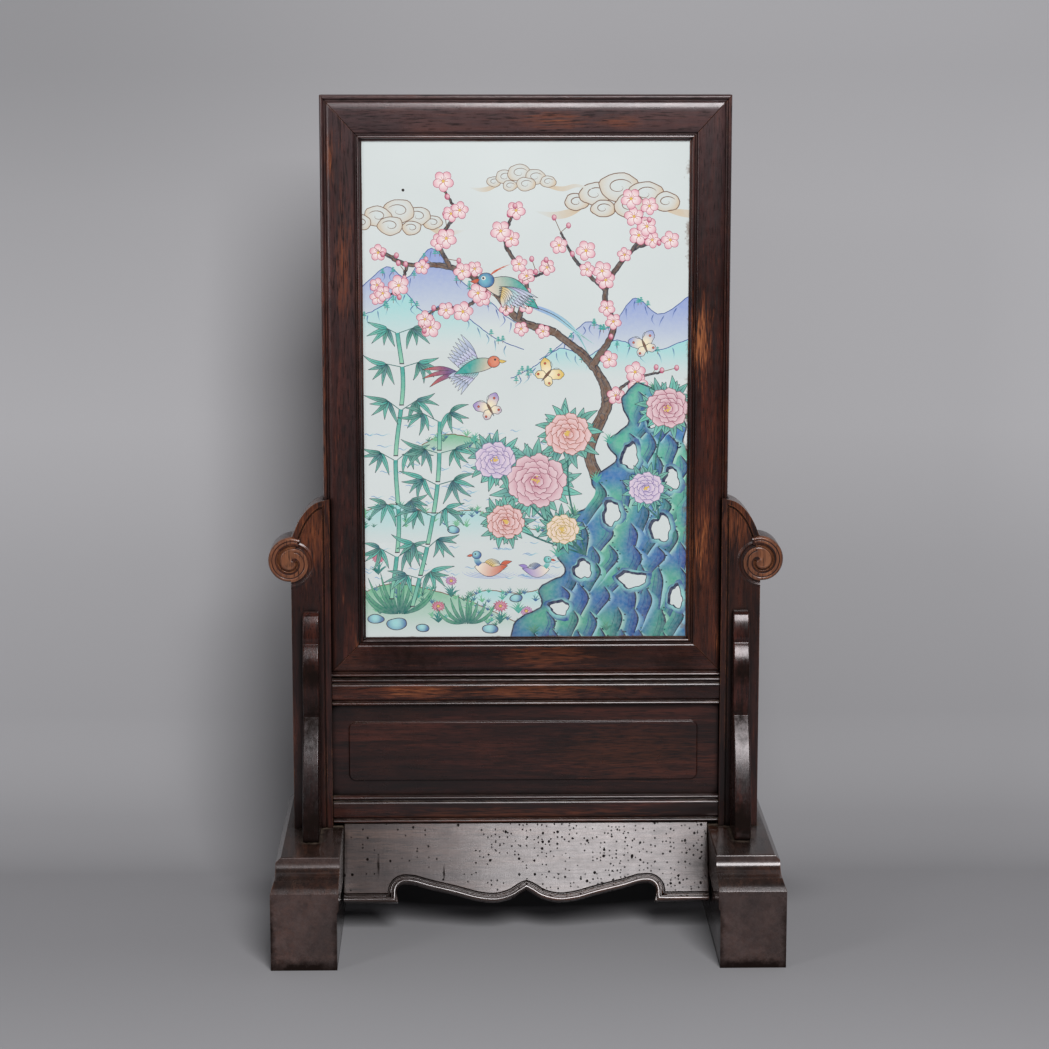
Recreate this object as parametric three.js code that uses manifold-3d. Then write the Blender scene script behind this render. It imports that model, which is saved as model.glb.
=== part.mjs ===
// A hardwood table screen. A moulded, mitred frame holds a porcelain plaque and
// its back board, and its stiles slide down into the grooved posts of a stand
// on two block feet.
//
// Millimetres, +Z up, the front faces -Y. The origin is on the surface that the
// feet stand on, midway between them.

import * as THREE from "three";
import { mergeVertices } from "three/addons/utils/BufferGeometryUtils.js";
import Module from "manifold-3d";

const wasm = await Module();
wasm.setup();

// Sizes

const FIT = 0.3; // clearance between pieces that meet

// The removable screen
const SCREEN_WIDTH = 310;
const SCREEN_HEIGHT = 446.6;
const MEMBER_WIDTH = 31.4; // face of a stile or the bottom rail, outer edge to sight edge
const TOP_RAIL_WIDTH = 34.2;
const SCREEN_DEPTH = 18;
const OUTER_BEAD = 3.2;
const INNER_BEAD = 2.6;
const FILLET_WIDTH = 1.4; // narrow flat step between the inner bead and the plaque
const FILLET_SETBACK = 3; // how far that step lies behind the beads
const FILLET_LIP = 1.2; // wood in front of the plaque's rim
const BEAD_GROOVE = 1.2; // width of the quirk beside a bead
const BEAD_GROOVE_DEPTH = 2;
const BEAD_LEAN = 0.2; // lean of a quirk's wall beside a bead
const FACE_SHOULDER = 7; // width over which the face rolls down to the outer quirk
const FACE_INNER_SHOULDER = 2.6; // the same beside the inner quirk
const REBATE_DEPTH = 6; // how far plaque and board reach into the frame
const PLAQUE_THICKNESS = 5;
const BOARD_THICKNESS = 5.2;
const FRAME_TENON_OUTER = 6.5; // tenon's edge, in from the rail's outer edge
const FRAME_TENON_WIDTH = 13;
const FRAME_TENON_THICKNESS = 5;
const FRAME_TENON_END_WOOD = 7; // wood left beyond a blind tenon
const BATTEN_WIDTH = 24;
const BATTEN_PROUD = 2.6; // how far a batten stands behind the board
const BATTEN_TONGUE = 2.4; // its tongue in the board
const BATTEN_INSET = 92; // batten centre line, from the sight edge above or below

// The stand's posts
const POST_WIDTH = 30;
const POST_DEPTH = 28;
const STILE_ENGAGEMENT = 4.7; // how deep the screen's edge reaches into a post
const POST_TOP = 339.5; // height of the tip above the surface
const POST_SHOULDER_DROP = 28.5; // from the tip down to the notch above the scroll
const POST_SHOULDER_INSET = 1.3; // the notch, in from the post's outer edge
const POST_EDGE_BEAD = 4.2;
const POST_QUIRK = 1.4;
const POST_QUIRK_DEPTH = 1.2;
const POST_TENON_WIDTH = 18;
const POST_TENON_DEPTH = 16;
const POST_TENON_LENGTH = 34;
const SLIDE_CLEARANCE = 0.9; // side play of the screen in each post
const SCROLL_HEIGHT = 290.9; // the scroll's eye above the surface, on the post's outer edge
const SCROLL_RADIUS = 19.4; // from the eye up to the notch
const SCROLL_TURNS = 1.95; // turns in which the radius would shrink to nothing
const SCROLL_TIGHTENING = 0.8; // power with which it shrinks
const SCROLL_LEAD = 0.06; // turns by which its edge starts before the notch
const SCROLL_PROUD = 1.6;
const SCROLL_ROUND = 2.6; // rounding of its front edge
const SCROLL_CUT_FROM = 0.45; // the cut beside its edge, in turns from the notch
const SCROLL_CUT_REST = 0.17; // turns left uncut at the eye
const SCROLL_CUT_WIDTH = 2.2;
const SCROLL_CUT_DEPTH = 2.4;

// Rails, waist panel and their joints
const RAIL_DEPTH = 24;
const UPPER_RAIL_TOP = 198.5;
const UPPER_RAIL_HEIGHT = 21.5;
const LOWER_RAIL_BOTTOM = 83;
const LOWER_RAIL_HEIGHT = 21.6;
const RAIL_BEAD = 3;
const RAIL_ROLL = 2.4; // width over which a rail's face rolls down to a quirk
const RAIL_TENON_LENGTH = 12;
const RAIL_TENON_HEIGHT = 11;
const RAIL_TENON_THICKNESS = 10;
const PANEL_THICKNESS = 6;
const PANEL_SETBACK = 6; // panel ground behind the rails' faces
const PANEL_TONGUE = 4;
const PANEL_SHIFT = -2; // the panel floats, and has settled to one side
const FIELD_RAISE = 2;
const FIELD_MARGIN_SIDE = 15;
const FIELD_MARGIN_TOP = 14;
const FIELD_MARGIN_BOTTOM = 12;
const FIELD_CORNER = 5;

// Feet
const FOOT_LENGTH = 240;
const FOOT_HEIGHT = 80;
const FOOT_WIDTH = 51;
const FOOT_OVERHANG = 8.3; // the inner face, in from the post's inner face
const FOOT_BASE_STEP = 1.4; // the base lies behind the inner cheek
const FOOT_CHEEK_BOTTOM = 46;
const FOOT_HEAD_HEIGHT = 59.2; // height of the front face
const FOOT_HEAD_BEVEL = 8; // rise and run of the slope above the front face
const FOOT_HEAD_SWELL = 0.5; // how far that slope swells
const FOOT_BATTER = 2.8; // the outer side leans in above the head
const FOOT_TOP_CHAMFER = 4;
const FOOT_LIP_SETBACK = 26; // lip behind the front face
const FOOT_LIP_HEIGHT = 3.4;
const FOOT_LIP_WIDTH = 8;
const FOOT_LIP_NOSE = 1.4; // rounding of the lip's edge
const FOOT_SHELF = 5; // level run between the head's slope and the hollow sweep
const FOOT_INNER_CHAMFER = 0.8;

// Spandrels that stand on the feet and prop the posts
const SPANDREL_THICKNESS = 12.5;
const SPANDREL_TONGUE = 4;
const SPANDREL_TONGUE_THICKNESS = 5;
const SPANDREL_TONGUE_MARGIN = 14; // tongue stops this far below the top
const SPANDREL_STUB = 6;
const SPANDREL_TOP = 253;
const SPANDREL_FOOT_REACH = 41.5; // toe's reach in front of the post
const SPANDREL_STUB_NEAR = 8; // ends of its stub tenon, in front of the post
const SPANDREL_STUB_FAR = 32;

// Slanting cusped aprons between the feet
const APRON_THICKNESS = 10;
const APRON_SLANT = THREE.MathUtils.degToRad(25);
const APRON_WIDTH = 60.6; // measured down the slanting face
const APRON_ARCH_WIDTH = 201;
const APRON_ARCH_RISE = 14.6;
const APRON_CUSP_RISE = 9.6;
const APRON_ARCH_CORNER = 7;
const APRON_BELLY = 28; // the drooping lobes hang this far from the middle
const APRON_BEAD = 4.8;
const APRON_BEAD_RISE = 0.9; // the bead stands in front of the board's face
const APRON_QUIRK = 1.6;
const APRON_QUIRK_DEPTH = 1.9;
const APRON_TENON_LENGTH = 8;
const APRON_TENON_THICKNESS = 5;
const APRON_TENON_TOP = 10;
const APRON_TENON_BOTTOM = 40;

// Derived places

const WAIST_BOTTOM = LOWER_RAIL_BOTTOM + LOWER_RAIL_HEIGHT;
const WAIST_TOP = UPPER_RAIL_TOP - UPPER_RAIL_HEIGHT;
const POST_INNER = SCREEN_WIDTH / 2 - STILE_ENGAGEMENT;
const POST_CENTRE = POST_INNER + POST_WIDTH / 2;
const POST_FRONT = POST_DEPTH / 2; // half depth: the front face is at -POST_FRONT
const RAIL_FRONT = RAIL_DEPTH / 2;
const SCREEN_SEAT = UPPER_RAIL_TOP + FIT;
const SCREEN_FRONT = SCREEN_DEPTH / 2;
const GROOVE_FLOOR = SCREEN_WIDTH / 2 + SLIDE_CLEARANCE;
const REBATE_FRONT = -SCREEN_FRONT + FILLET_SETBACK + FILLET_LIP;
const REBATE_BACK = REBATE_FRONT + PLAQUE_THICKNESS + BOARD_THICKNESS + 3 * FIT;
const PANEL_BACK = -RAIL_FRONT + PANEL_SETBACK + PANEL_THICKNESS;
const FOOT_INNER = POST_INNER - FOOT_OVERHANG;
const APRON_TOP = LOWER_RAIL_BOTTOM - FIT;
const CURVE_STEPS = 10;

// Materials

const wood = (color, roughness) =>
  new THREE.MeshStandardMaterial({ color, roughness, metalness: 0 });
const screenWood = wood(0x2f1912, 0.42);
const standWood = wood(0x2a1813, 0.46);
const apronWood = wood(0x3a2a25, 0.5);
const boardWood = wood(0x4a3020, 0.7);
const porcelain = new THREE.MeshStandardMaterial({
  color: 0xdfe6e4,
  roughness: 0.12,
  metalness: 0,
});

// Solids from geometry

const v2 = (x, y) => new THREE.Vector2(x, y);
const AXIS_X = new THREE.Vector3(1, 0, 0);
const AXIS_Y = new THREE.Vector3(0, 1, 0);
const AXIS_Z = new THREE.Vector3(0, 0, 1);

// A closed three.js geometry as a solid that can be joined and cut.
function solid(geometry) {
  geometry.deleteAttribute("normal");
  geometry.deleteAttribute("uv");
  const merged = mergeVertices(geometry, 1e-4);
  return new wasm.Manifold(
    new wasm.Mesh({
      numProp: 3,
      vertProperties: new Float32Array(merged.attributes.position.array),
      triVerts: new Uint32Array(merged.index.array),
    }),
  );
}

// An outline extruded from `from` to `to` along one axis. The outline's own
// axes are (x, z) for "y", (y, z) for "x" and (x, y) for "z".
function prism(outline, along, from, to) {
  const geometry = new THREE.ExtrudeGeometry(new THREE.Shape(outline), {
    depth: to - from,
    bevelEnabled: false,
  });
  const turn = new THREE.Matrix4();
  if (along === "x") turn.makeBasis(AXIS_Y, AXIS_Z, AXIS_X).setPosition(from, 0, 0);
  if (along === "y")
    turn.makeBasis(AXIS_X, AXIS_Z, AXIS_Y.clone().negate()).setPosition(0, to, 0);
  if (along === "z") turn.setPosition(0, 0, from);
  geometry.applyMatrix4(turn);
  return solid(geometry);
}

// A solid through a stack of rings, from the first, at the back, to the last, at
// the front. Each ring runs clockwise as seen from the front, around its middle.
function loft(rings, middles) {
  const count = rings[0].length;
  const last = (rings.length - 1) * count;
  const caps = last + count;
  const index = [];
  for (let i = 0; i < count; i++) {
    const next = (i + 1) % count;
    for (let ring = 0; ring < last; ring += count) {
      const [a, b] = [ring + i, ring + next];
      index.push(a, b + count, b, a, a + count, b + count);
    }
    index.push(caps, i, next, caps + 1, last + next, last + i);
  }
  const geometry = new THREE.BufferGeometry().setFromPoints([...rings.flat(), ...middles]);
  geometry.setIndex(index);
  return solid(geometry);
}

// A box between two corners, moved by an optional matrix.
function block(x0, x1, y0, y1, z0, z1, place) {
  const geometry = new THREE.BoxGeometry(x1 - x0, y1 - y0, z1 - z0);
  geometry.translate((x0 + x1) / 2, (y0 + y1) / 2, (z0 + z1) / 2);
  if (place) geometry.applyMatrix4(place);
  return solid(geometry);
}

// The finished solid as a named mesh.
function piece(name, body, material) {
  const { vertProperties, triVerts } = body.getMesh();
  const geometry = new THREE.BufferGeometry();
  geometry.setAttribute("position", new THREE.BufferAttribute(vertProperties, 3));
  geometry.setIndex(new THREE.BufferAttribute(triVerts, 1));
  const flat = geometry.toNonIndexed();
  flat.computeVertexNormals();
  const mesh = new THREE.Mesh(flat, material);
  mesh.name = name;
  return mesh;
}

// Outlines

// Points along an oval arc from one angle to another, in degrees.
function arc(cx, cy, rx, ry, from, to, steps = CURVE_STEPS) {
  const points = [];
  for (let i = 0; i <= steps; i++) {
    const a = THREE.MathUtils.degToRad(from + ((to - from) * i) / steps);
    points.push(v2(cx + rx * Math.cos(a), cy + ry * Math.sin(a)));
  }
  return points;
}

// A smooth run through a few chosen points.
function curve(points, steps) {
  return new THREE.SplineCurve(points.map(([x, y]) => v2(x, y))).getPoints(steps);
}

// The strip between two offsets of an open path, to its left for positive ones.
function strip(path, near, far) {
  const offset = (d) =>
    path.map((p, i) => {
      const a = path[Math.max(i - 1, 0)];
      const b = path[Math.min(i + 1, path.length - 1)];
      const t = b.clone().sub(a).normalize();
      return v2(p.x - t.y * d, p.y + t.x * d);
    });
  return [...offset(near), ...offset(far).reverse()];
}

// A bead in a moulding's section: along `u` from u0 to u1, its crest at depth
// `crest` and its two springing points `drop` behind it.
function bead(u0, u1, crest, drop, steps = 6) {
  return arc((u0 + u1) / 2, crest + drop, (u1 - u0) / 2, -drop, 180, 0, steps);
}

// Section of a moulded rail's face: bead, quirk, rolled field, quirk, bead.
// It runs from u = 0 to u = height, where -y is out of the face.
function railFace(height, front) {
  const rise = BEAD_GROOVE_DEPTH;
  const quirk = RAIL_BEAD + BEAD_GROOVE;
  const field = height - 2 * quirk;
  const rolled = Math.min(RAIL_ROLL, field / 4);
  return [
    ...bead(0, RAIL_BEAD, -front, rise),
    v2(RAIL_BEAD + BEAD_LEAN, -front + rise),
    v2(quirk - BEAD_LEAN, -front + rise),
    ...arc(quirk + rolled, -front + rise - 0.1, rolled, -(rise - 0.3), 180, 90, 4),
    ...arc(height - quirk - rolled, -front + rise - 0.1, rolled, -(rise - 0.3), 90, 0, 4),
    v2(height - quirk + BEAD_LEAN, -front + rise),
    v2(height - RAIL_BEAD - BEAD_LEAN, -front + rise),
    ...bead(height - RAIL_BEAD, height, -front, rise),
  ];
}

// Screen frame

// Section of a frame member of width w. It runs inwards from the outer edge, and
// the groove that takes the plaque and its board opens at the sight edge. A
// wider member has all its mouldings wider, so that they meet along the mitre.
function memberSection(w) {
  const wider = w / MEMBER_WIDTH;
  const front = -SCREEN_FRONT;
  const outerBead = OUTER_BEAD * wider;
  const quirk = outerBead + BEAD_GROOVE * wider;
  const beadEnd = w - FILLET_WIDTH * wider;
  const beadStart = beadEnd - INNER_BEAD * wider;
  const faceEnd = beadStart - BEAD_GROOVE * wider;
  const shoulder = FACE_SHOULDER * wider;
  const innerShoulder = FACE_INNER_SHOULDER * wider;
  const floor = front + BEAD_GROOVE_DEPTH;
  return [
    v2(0, SCREEN_FRONT - 1),
    ...bead(0, outerBead, front, BEAD_GROOVE_DEPTH),
    v2(outerBead + BEAD_LEAN, floor),
    v2(quirk, floor),
    ...arc(quirk + shoulder, floor, shoulder, front - floor, 180, 90, 8),
    ...arc(faceEnd - innerShoulder, floor, innerShoulder, front - floor, 90, 0, 5),
    v2(beadStart, floor),
    ...bead(beadStart, beadEnd, front + 0.2, BEAD_GROOVE_DEPTH - 0.2),
    v2(beadEnd, front + FILLET_SETBACK),
    v2(w, front + FILLET_SETBACK),
    v2(w, REBATE_FRONT),
    v2(w - REBATE_DEPTH, REBATE_FRONT),
    v2(w - REBATE_DEPTH, REBATE_BACK),
    v2(w, REBATE_BACK),
    v2(w, SCREEN_FRONT - 1),
    v2(w - 1, SCREEN_FRONT),
    v2(1, SCREEN_FRONT),
  ];
}

const frameTenon = (side, grow) =>
  block(
    side > 0 ? SCREEN_WIDTH / 2 - MEMBER_WIDTH - 8 : -SCREEN_WIDTH / 2 + FRAME_TENON_END_WOOD - grow,
    side > 0 ? SCREEN_WIDTH / 2 - FRAME_TENON_END_WOOD + grow : -SCREEN_WIDTH / 2 + MEMBER_WIDTH + 8,
    -FRAME_TENON_THICKNESS / 2 - grow,
    FRAME_TENON_THICKNESS / 2 + grow,
    FRAME_TENON_OUTER - grow,
    FRAME_TENON_OUTER + FRAME_TENON_WIDTH + grow,
  );

// Mitre line's shift along a member's length, for half the clearance.
const MITRE_SHIFT = (FIT / 2) * Math.SQRT2;

// A stile, its outer edge on `side`. Local z = 0 is the frame's bottom.
function stile(side) {
  const outer = (side * SCREEN_WIDTH) / 2;
  const inner = outer - side * MEMBER_WIDTH;
  const section = memberSection(MEMBER_WIDTH).map((p) => v2(outer - side * p.x, p.y));
  const mitre = [
    v2(outer, MITRE_SHIFT),
    v2(inner, MEMBER_WIDTH + MITRE_SHIFT),
    v2(inner, SCREEN_HEIGHT - TOP_RAIL_WIDTH - MITRE_SHIFT),
    v2(outer, SCREEN_HEIGHT - MITRE_SHIFT),
  ];
  const mortise = frameTenon(side, FIT);
  const upperMortise = mortise.mirror([0, 0, 1]).translate([0, 0, SCREEN_HEIGHT]);
  return prism(section, "z", 0, SCREEN_HEIGHT)
    .intersect(prism(mitre, "y", -SCREEN_DEPTH, SCREEN_DEPTH))
    .subtract(mortise)
    .subtract(upperMortise);
}

// The top or bottom rail with its two tenons. The top rail is the bottom one
// turned over, and wider.
function frameRail(top) {
  const half = SCREEN_WIDTH / 2;
  const width = top ? TOP_RAIL_WIDTH : MEMBER_WIDTH;
  const z = (u) => (top ? SCREEN_HEIGHT - u : u);
  const section = memberSection(width).map((p) => v2(p.y, z(p.x)));
  const mitre = [
    v2(-half + MITRE_SHIFT, z(0)),
    v2(half - MITRE_SHIFT, z(0)),
    v2(half - MEMBER_WIDTH - MITRE_SHIFT, z(width)),
    v2(-half + MEMBER_WIDTH + MITRE_SHIFT, z(width)),
  ];
  let body = prism(section, "x", -half, half).intersect(
    prism(mitre, "y", -SCREEN_DEPTH, SCREEN_DEPTH),
  );
  for (const side of [-1, 1]) {
    let tenon = frameTenon(side, 0);
    if (top) tenon = tenon.mirror([0, 0, 1]).translate([0, 0, SCREEN_HEIGHT]);
    body = body.add(tenon);
  }
  return body;
}

// A slab that fills the frame's groove, less its clearance.
function infill(front, thickness) {
  const halfWidth = SCREEN_WIDTH / 2 - MEMBER_WIDTH + REBATE_DEPTH - FIT;
  const bottom = MEMBER_WIDTH - REBATE_DEPTH + FIT;
  const top = SCREEN_HEIGHT - TOP_RAIL_WIDTH + REBATE_DEPTH - FIT;
  return block(-halfWidth, halfWidth, front, front + thickness, bottom, top);
}

const PLAQUE_FRONT = REBATE_FRONT + FIT;
const BOARD_FRONT = PLAQUE_FRONT + PLAQUE_THICKNESS + FIT;
const BOARD_BACK = BOARD_FRONT + BOARD_THICKNESS;

// A batten's section in (y, z) about its own centre line: a dovetail tongue let
// into the board, and a flat bar behind it.
function battenSection(grow) {
  const back = BOARD_BACK;
  const neck = BATTEN_WIDTH / 2 - 3 + grow;
  const root = BATTEN_WIDTH / 2 - 1.6 + grow;
  return [
    v2(back - BATTEN_TONGUE - grow, -root),
    v2(back + (grow ? 1 : FIT), -neck),
    v2(back + (grow ? 1 : FIT), neck),
    v2(back - BATTEN_TONGUE - grow, root),
  ];
}
const battenHeights = [
  MEMBER_WIDTH + BATTEN_INSET,
  SCREEN_HEIGHT - TOP_RAIL_WIDTH - BATTEN_INSET,
];
const BOARD_HALF = SCREEN_WIDTH / 2 - MEMBER_WIDTH + REBATE_DEPTH - FIT;

function backBoard() {
  let body = infill(BOARD_FRONT, BOARD_THICKNESS);
  for (const z of battenHeights)
    body = body.subtract(
      prism(battenSection(FIT), "x", -BOARD_HALF - 1, BOARD_HALF + 1).translate([0, 0, z]),
    );
  return body;
}

// The bar ends between the frame's back lips, and the tongue runs the board's
// full width.
function batten() {
  const half = SCREEN_WIDTH / 2 - MEMBER_WIDTH - FIT;
  const bar = block(
    -half,
    half,
    BOARD_BACK + FIT,
    BOARD_BACK + FIT + BATTEN_PROUD,
    -BATTEN_WIDTH / 2,
    BATTEN_WIDTH / 2,
  );
  return bar.add(prism(battenSection(0), "x", -half, half));
}

// Stand

// The shoulder in (x, z) about the post's centre line, from the inner tip down
// to the notch above the scroll: an oval that flattens towards its end.
function postShoulder() {
  const reach = POST_WIDTH - POST_SHOULDER_INSET;
  const part = (x, z) => [x * reach - POST_WIDTH / 2, POST_TOP - z * POST_SHOULDER_DROP];
  const oval = [[0, 0], [0.33, 0.08], [0.55, 0.23], [0.72, 0.43], [0.86, 0.66], [1, 1]];
  return curve(oval.map(([x, z]) => part(x, z)), 14);
}

// Post outline in (x, z) about its centre line, for the side that it is on.
function postOutline(side) {
  const inner = -POST_WIDTH / 2;
  const outer = POST_WIDTH / 2;
  return [
    v2(inner, FOOT_HEIGHT + FIT),
    ...postShoulder(),
    v2(outer, SCROLL_HEIGHT + SCROLL_RADIUS),
    v2(outer, FOOT_HEIGHT + FIT),
  ].map((p) => v2(side * p.x, p.y));
}

// The quirk that leaves a bead up the post's inner edge and along its shoulder,
// where the two beads meet in a mitre at the tip.
function postQuirk(side) {
  const near = POST_EDGE_BEAD;
  const far = POST_EDGE_BEAD + POST_QUIRK;
  const inner = -POST_WIDTH / 2;
  const edge = [
    v2(inner + near, FOOT_HEIGHT),
    v2(inner + far, FOOT_HEIGHT),
    v2(inner + far, POST_TOP - far),
    v2(inner + near, POST_TOP - near),
  ];
  const shoulder = strip(postShoulder(), -far, -near).filter((p) => p.x >= inner + near);
  return [edge, shoulder].map((outline) => outline.map((p) => v2(side * p.x, p.y)));
}

// A point of the right-hand scroll's edge in (x, z) about its eye, so many turns
// from the notch, outwards and down, and so far outside the edge.
function volute(turn, outside = 0) {
  const left = Math.max(0, 1 - turn / SCROLL_TURNS);
  const r = SCROLL_RADIUS * left ** SCROLL_TIGHTENING + outside;
  const angle = 2 * Math.PI * turn;
  return v2(r * Math.sin(angle), r * Math.cos(angle));
}

// The spiral cut beside the scroll's edge, first in the post's face around the
// scroll and then on the scroll itself, in to the eye.
function scrollCut(side) {
  const path = [];
  const steps = 44;
  const turns = SCROLL_TURNS - SCROLL_CUT_REST - SCROLL_CUT_FROM;
  for (let i = 0; i <= steps; i++) {
    path.push(volute(SCROLL_CUT_FROM + (turns * i) / steps, SCROLL_CUT_WIDTH / 2));
  }
  return strip(path, -SCROLL_CUT_WIDTH / 2, SCROLL_CUT_WIDTH / 2).map((p) =>
    v2(side * (POST_WIDTH / 2 + p.x), SCROLL_HEIGHT + p.y),
  );
}

// The scroll, one turn of the volute as deep as the post and a little prouder,
// with its front edge rounded.
function scroll(side) {
  const front = POST_FRONT + SCROLL_PROUD;
  const steps = 40;
  const ring = (y, inset) =>
    Array.from({ length: steps }, (_, i) => {
      const p = volute(i / steps - SCROLL_LEAD, -inset);
      return new THREE.Vector3(p.x, y, p.y);
    });
  const rounding = arc(SCROLL_ROUND, SCROLL_ROUND - front, SCROLL_ROUND, SCROLL_ROUND, 180, 270, 4);
  const rings = [ring(POST_FRONT, 1), ring(POST_FRONT - 1, 0), ...rounding.map((p) => ring(p.y, p.x))];
  const eye = (y) => new THREE.Vector3(0, y, 0);
  const right = loft(rings, [eye(POST_FRONT), eye(-front)]);
  const body = side > 0 ? right : right.mirror([1, 0, 0]);
  return body.translate([(side * POST_WIDTH) / 2, 0, SCROLL_HEIGHT]);
}

// A rail's tenon and mortise box, at its place in the stand.
const railTenon = (side, centre, grow) =>
  block(
    side > 0 ? POST_INNER - 2 : -POST_INNER - RAIL_TENON_LENGTH - grow,
    side > 0 ? POST_INNER + RAIL_TENON_LENGTH + grow : -POST_INNER + 2,
    -RAIL_TENON_THICKNESS / 2 - grow,
    RAIL_TENON_THICKNESS / 2 + grow,
    centre - RAIL_TENON_HEIGHT / 2 - grow,
    centre + RAIL_TENON_HEIGHT / 2 + grow,
  );
const UPPER_TENON = (UPPER_RAIL_TOP + WAIST_TOP + PANEL_TONGUE) / 2;
const LOWER_TENON = (LOWER_RAIL_BOTTOM + WAIST_BOTTOM - PANEL_TONGUE) / 2;

function post(side) {
  let body = prism(postOutline(side), "y", -POST_FRONT, POST_FRONT).add(scroll(side));
  const tenonTop = FOOT_HEIGHT + FIT + 1;
  body = body.add(
    block(
      -POST_TENON_WIDTH / 2,
      POST_TENON_WIDTH / 2,
      -POST_TENON_DEPTH / 2,
      POST_TENON_DEPTH / 2,
      FOOT_HEIGHT - POST_TENON_LENGTH,
      tenonTop,
    ),
  );
  for (const outline of postQuirk(side))
    body = body.subtract(
      prism(outline, "y", -POST_FRONT - 1, -POST_FRONT + POST_QUIRK_DEPTH).subtract(scroll(side)),
    );
  const scrollFace = -POST_FRONT - SCROLL_PROUD;
  body = body.subtract(prism(scrollCut(side), "y", scrollFace - 1, scrollFace + SCROLL_CUT_DEPTH));

  // What follows is cut at its place in the stand, then brought back.
  const centre = side * POST_CENTRE;
  const slot = [side * (POST_INNER - 1), side * GROOVE_FLOOR].sort((a, b) => a - b);
  const cuts = [
    // the groove that the screen's stile slides in
    block(
      ...slot,
      -SCREEN_FRONT - FIT,
      SCREEN_FRONT + FIT,
      UPPER_RAIL_TOP,
      POST_TOP + 1,
    ),
    // the groove that the waist panel's end sits in
    block(
      ...[side * (POST_INNER - 1), side * (POST_INNER + PANEL_TONGUE + FIT)].sort((a, b) => a - b),
      -RAIL_FRONT + PANEL_SETBACK - FIT,
      PANEL_BACK + FIT,
      WAIST_BOTTOM - PANEL_TONGUE - FIT,
      WAIST_TOP + PANEL_TONGUE + FIT,
    ),
    railTenon(side, UPPER_TENON, FIT),
    railTenon(side, LOWER_TENON, FIT),
  ];
  for (const cut of cuts) body = body.subtract(cut.translate([-centre, 0, 0]));
  const tongue = SPANDREL_TONGUE_THICKNESS / 2 + FIT;
  for (const way of [-1, 1]) {
    const depths = [way * (POST_FRONT + 1), way * (POST_FRONT - SPANDREL_TONGUE)];
    body = body.subtract(
      block(
        -tongue,
        tongue,
        ...depths.sort((a, b) => a - b),
        FOOT_HEIGHT,
        SPANDREL_TOP - SPANDREL_TONGUE_MARGIN + FIT,
      ),
    );
  }
  return body;
}

// A stand rail: the moulded face runs along its front and, mirrored, its back.
function standRail(bottom, height, centre, grooveAt) {
  const face = railFace(height, RAIL_FRONT).map((p) => v2(p.y, bottom + p.x));
  const back = railFace(height, RAIL_FRONT).map((p) => v2(-p.y, bottom + p.x));
  let body = prism([...face, ...back.reverse()], "x", -POST_INNER + FIT, POST_INNER - FIT);
  for (const side of [-1, 1]) body = body.add(railTenon(side, centre, 0));
  const deep = PANEL_TONGUE + FIT;
  return body.subtract(
    block(
      -POST_INNER,
      POST_INNER,
      -RAIL_FRONT + PANEL_SETBACK - FIT,
      PANEL_BACK + FIT,
      grooveAt > 0 ? bottom + height - deep : bottom - 1,
      grooveAt > 0 ? bottom + height + 1 : bottom + deep,
    ),
  );
}

// The waist panel: a thin ground in the grooves all round, and a raised field
// with rounded corners.
function waistPanel() {
  const half = POST_INNER + PANEL_TONGUE - Math.abs(PANEL_SHIFT);
  const ground = block(
    -half,
    half,
    -RAIL_FRONT + PANEL_SETBACK,
    PANEL_BACK,
    WAIST_BOTTOM - PANEL_TONGUE,
    WAIST_TOP + PANEL_TONGUE,
  );
  const x = POST_INNER - FIELD_MARGIN_SIDE - FIELD_CORNER;
  const z0 = WAIST_BOTTOM + FIELD_MARGIN_BOTTOM + FIELD_CORNER;
  const z1 = WAIST_TOP - FIELD_MARGIN_TOP - FIELD_CORNER;
  const r = FIELD_CORNER;
  const field = [
    ...arc(x, z0, r, r, -90, 0, 6),
    ...arc(x, z1, r, r, 0, 90, 6),
    ...arc(-x, z1, r, r, 90, 180, 6),
    ...arc(-x, z0, r, r, 180, 270, 6),
  ];
  const front = -RAIL_FRONT + PANEL_SETBACK;
  return ground.add(prism(field, "y", front - FIELD_RAISE, front + 1));
}

// Feet

// Side outline of a foot in (y, z): a block head with a swelling bevel above, a
// hollow sweep up to a lip, and the level top that the post stands on.
function footProfile() {
  const front = -FOOT_LENGTH / 2;
  const shelf = FOOT_HEAD_HEIGHT + FOOT_HEAD_BEVEL;
  const lip = front + FOOT_LIP_SETBACK;
  const sweep = front + FOOT_HEAD_BEVEL + FOOT_SHELF;
  const middle = FOOT_HEAD_BEVEL / 2;
  const lipBottom = FOOT_HEIGHT - FOOT_LIP_HEIGHT;
  const half = [
    v2(front, 0),
    ...curve(
      [
        [front, FOOT_HEAD_HEIGHT],
        [front + middle - FOOT_HEAD_SWELL, FOOT_HEAD_HEIGHT + middle + FOOT_HEAD_SWELL],
        [front + FOOT_HEAD_BEVEL, shelf],
      ],
      6,
    ),
    ...arc(sweep, lipBottom, lip - sweep, lipBottom - shelf, -90, 0, 6),
    ...arc(
      lip + FOOT_LIP_NOSE,
      lipBottom + FOOT_LIP_HEIGHT / 2,
      FOOT_LIP_NOSE,
      FOOT_LIP_HEIGHT / 2,
      200,
      90,
      4,
    ),
    v2(lip + FOOT_LIP_WIDTH, FOOT_HEIGHT),
  ];
  return [...half, ...half.map((p) => v2(-p.x, p.y)).reverse()];
}

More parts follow.
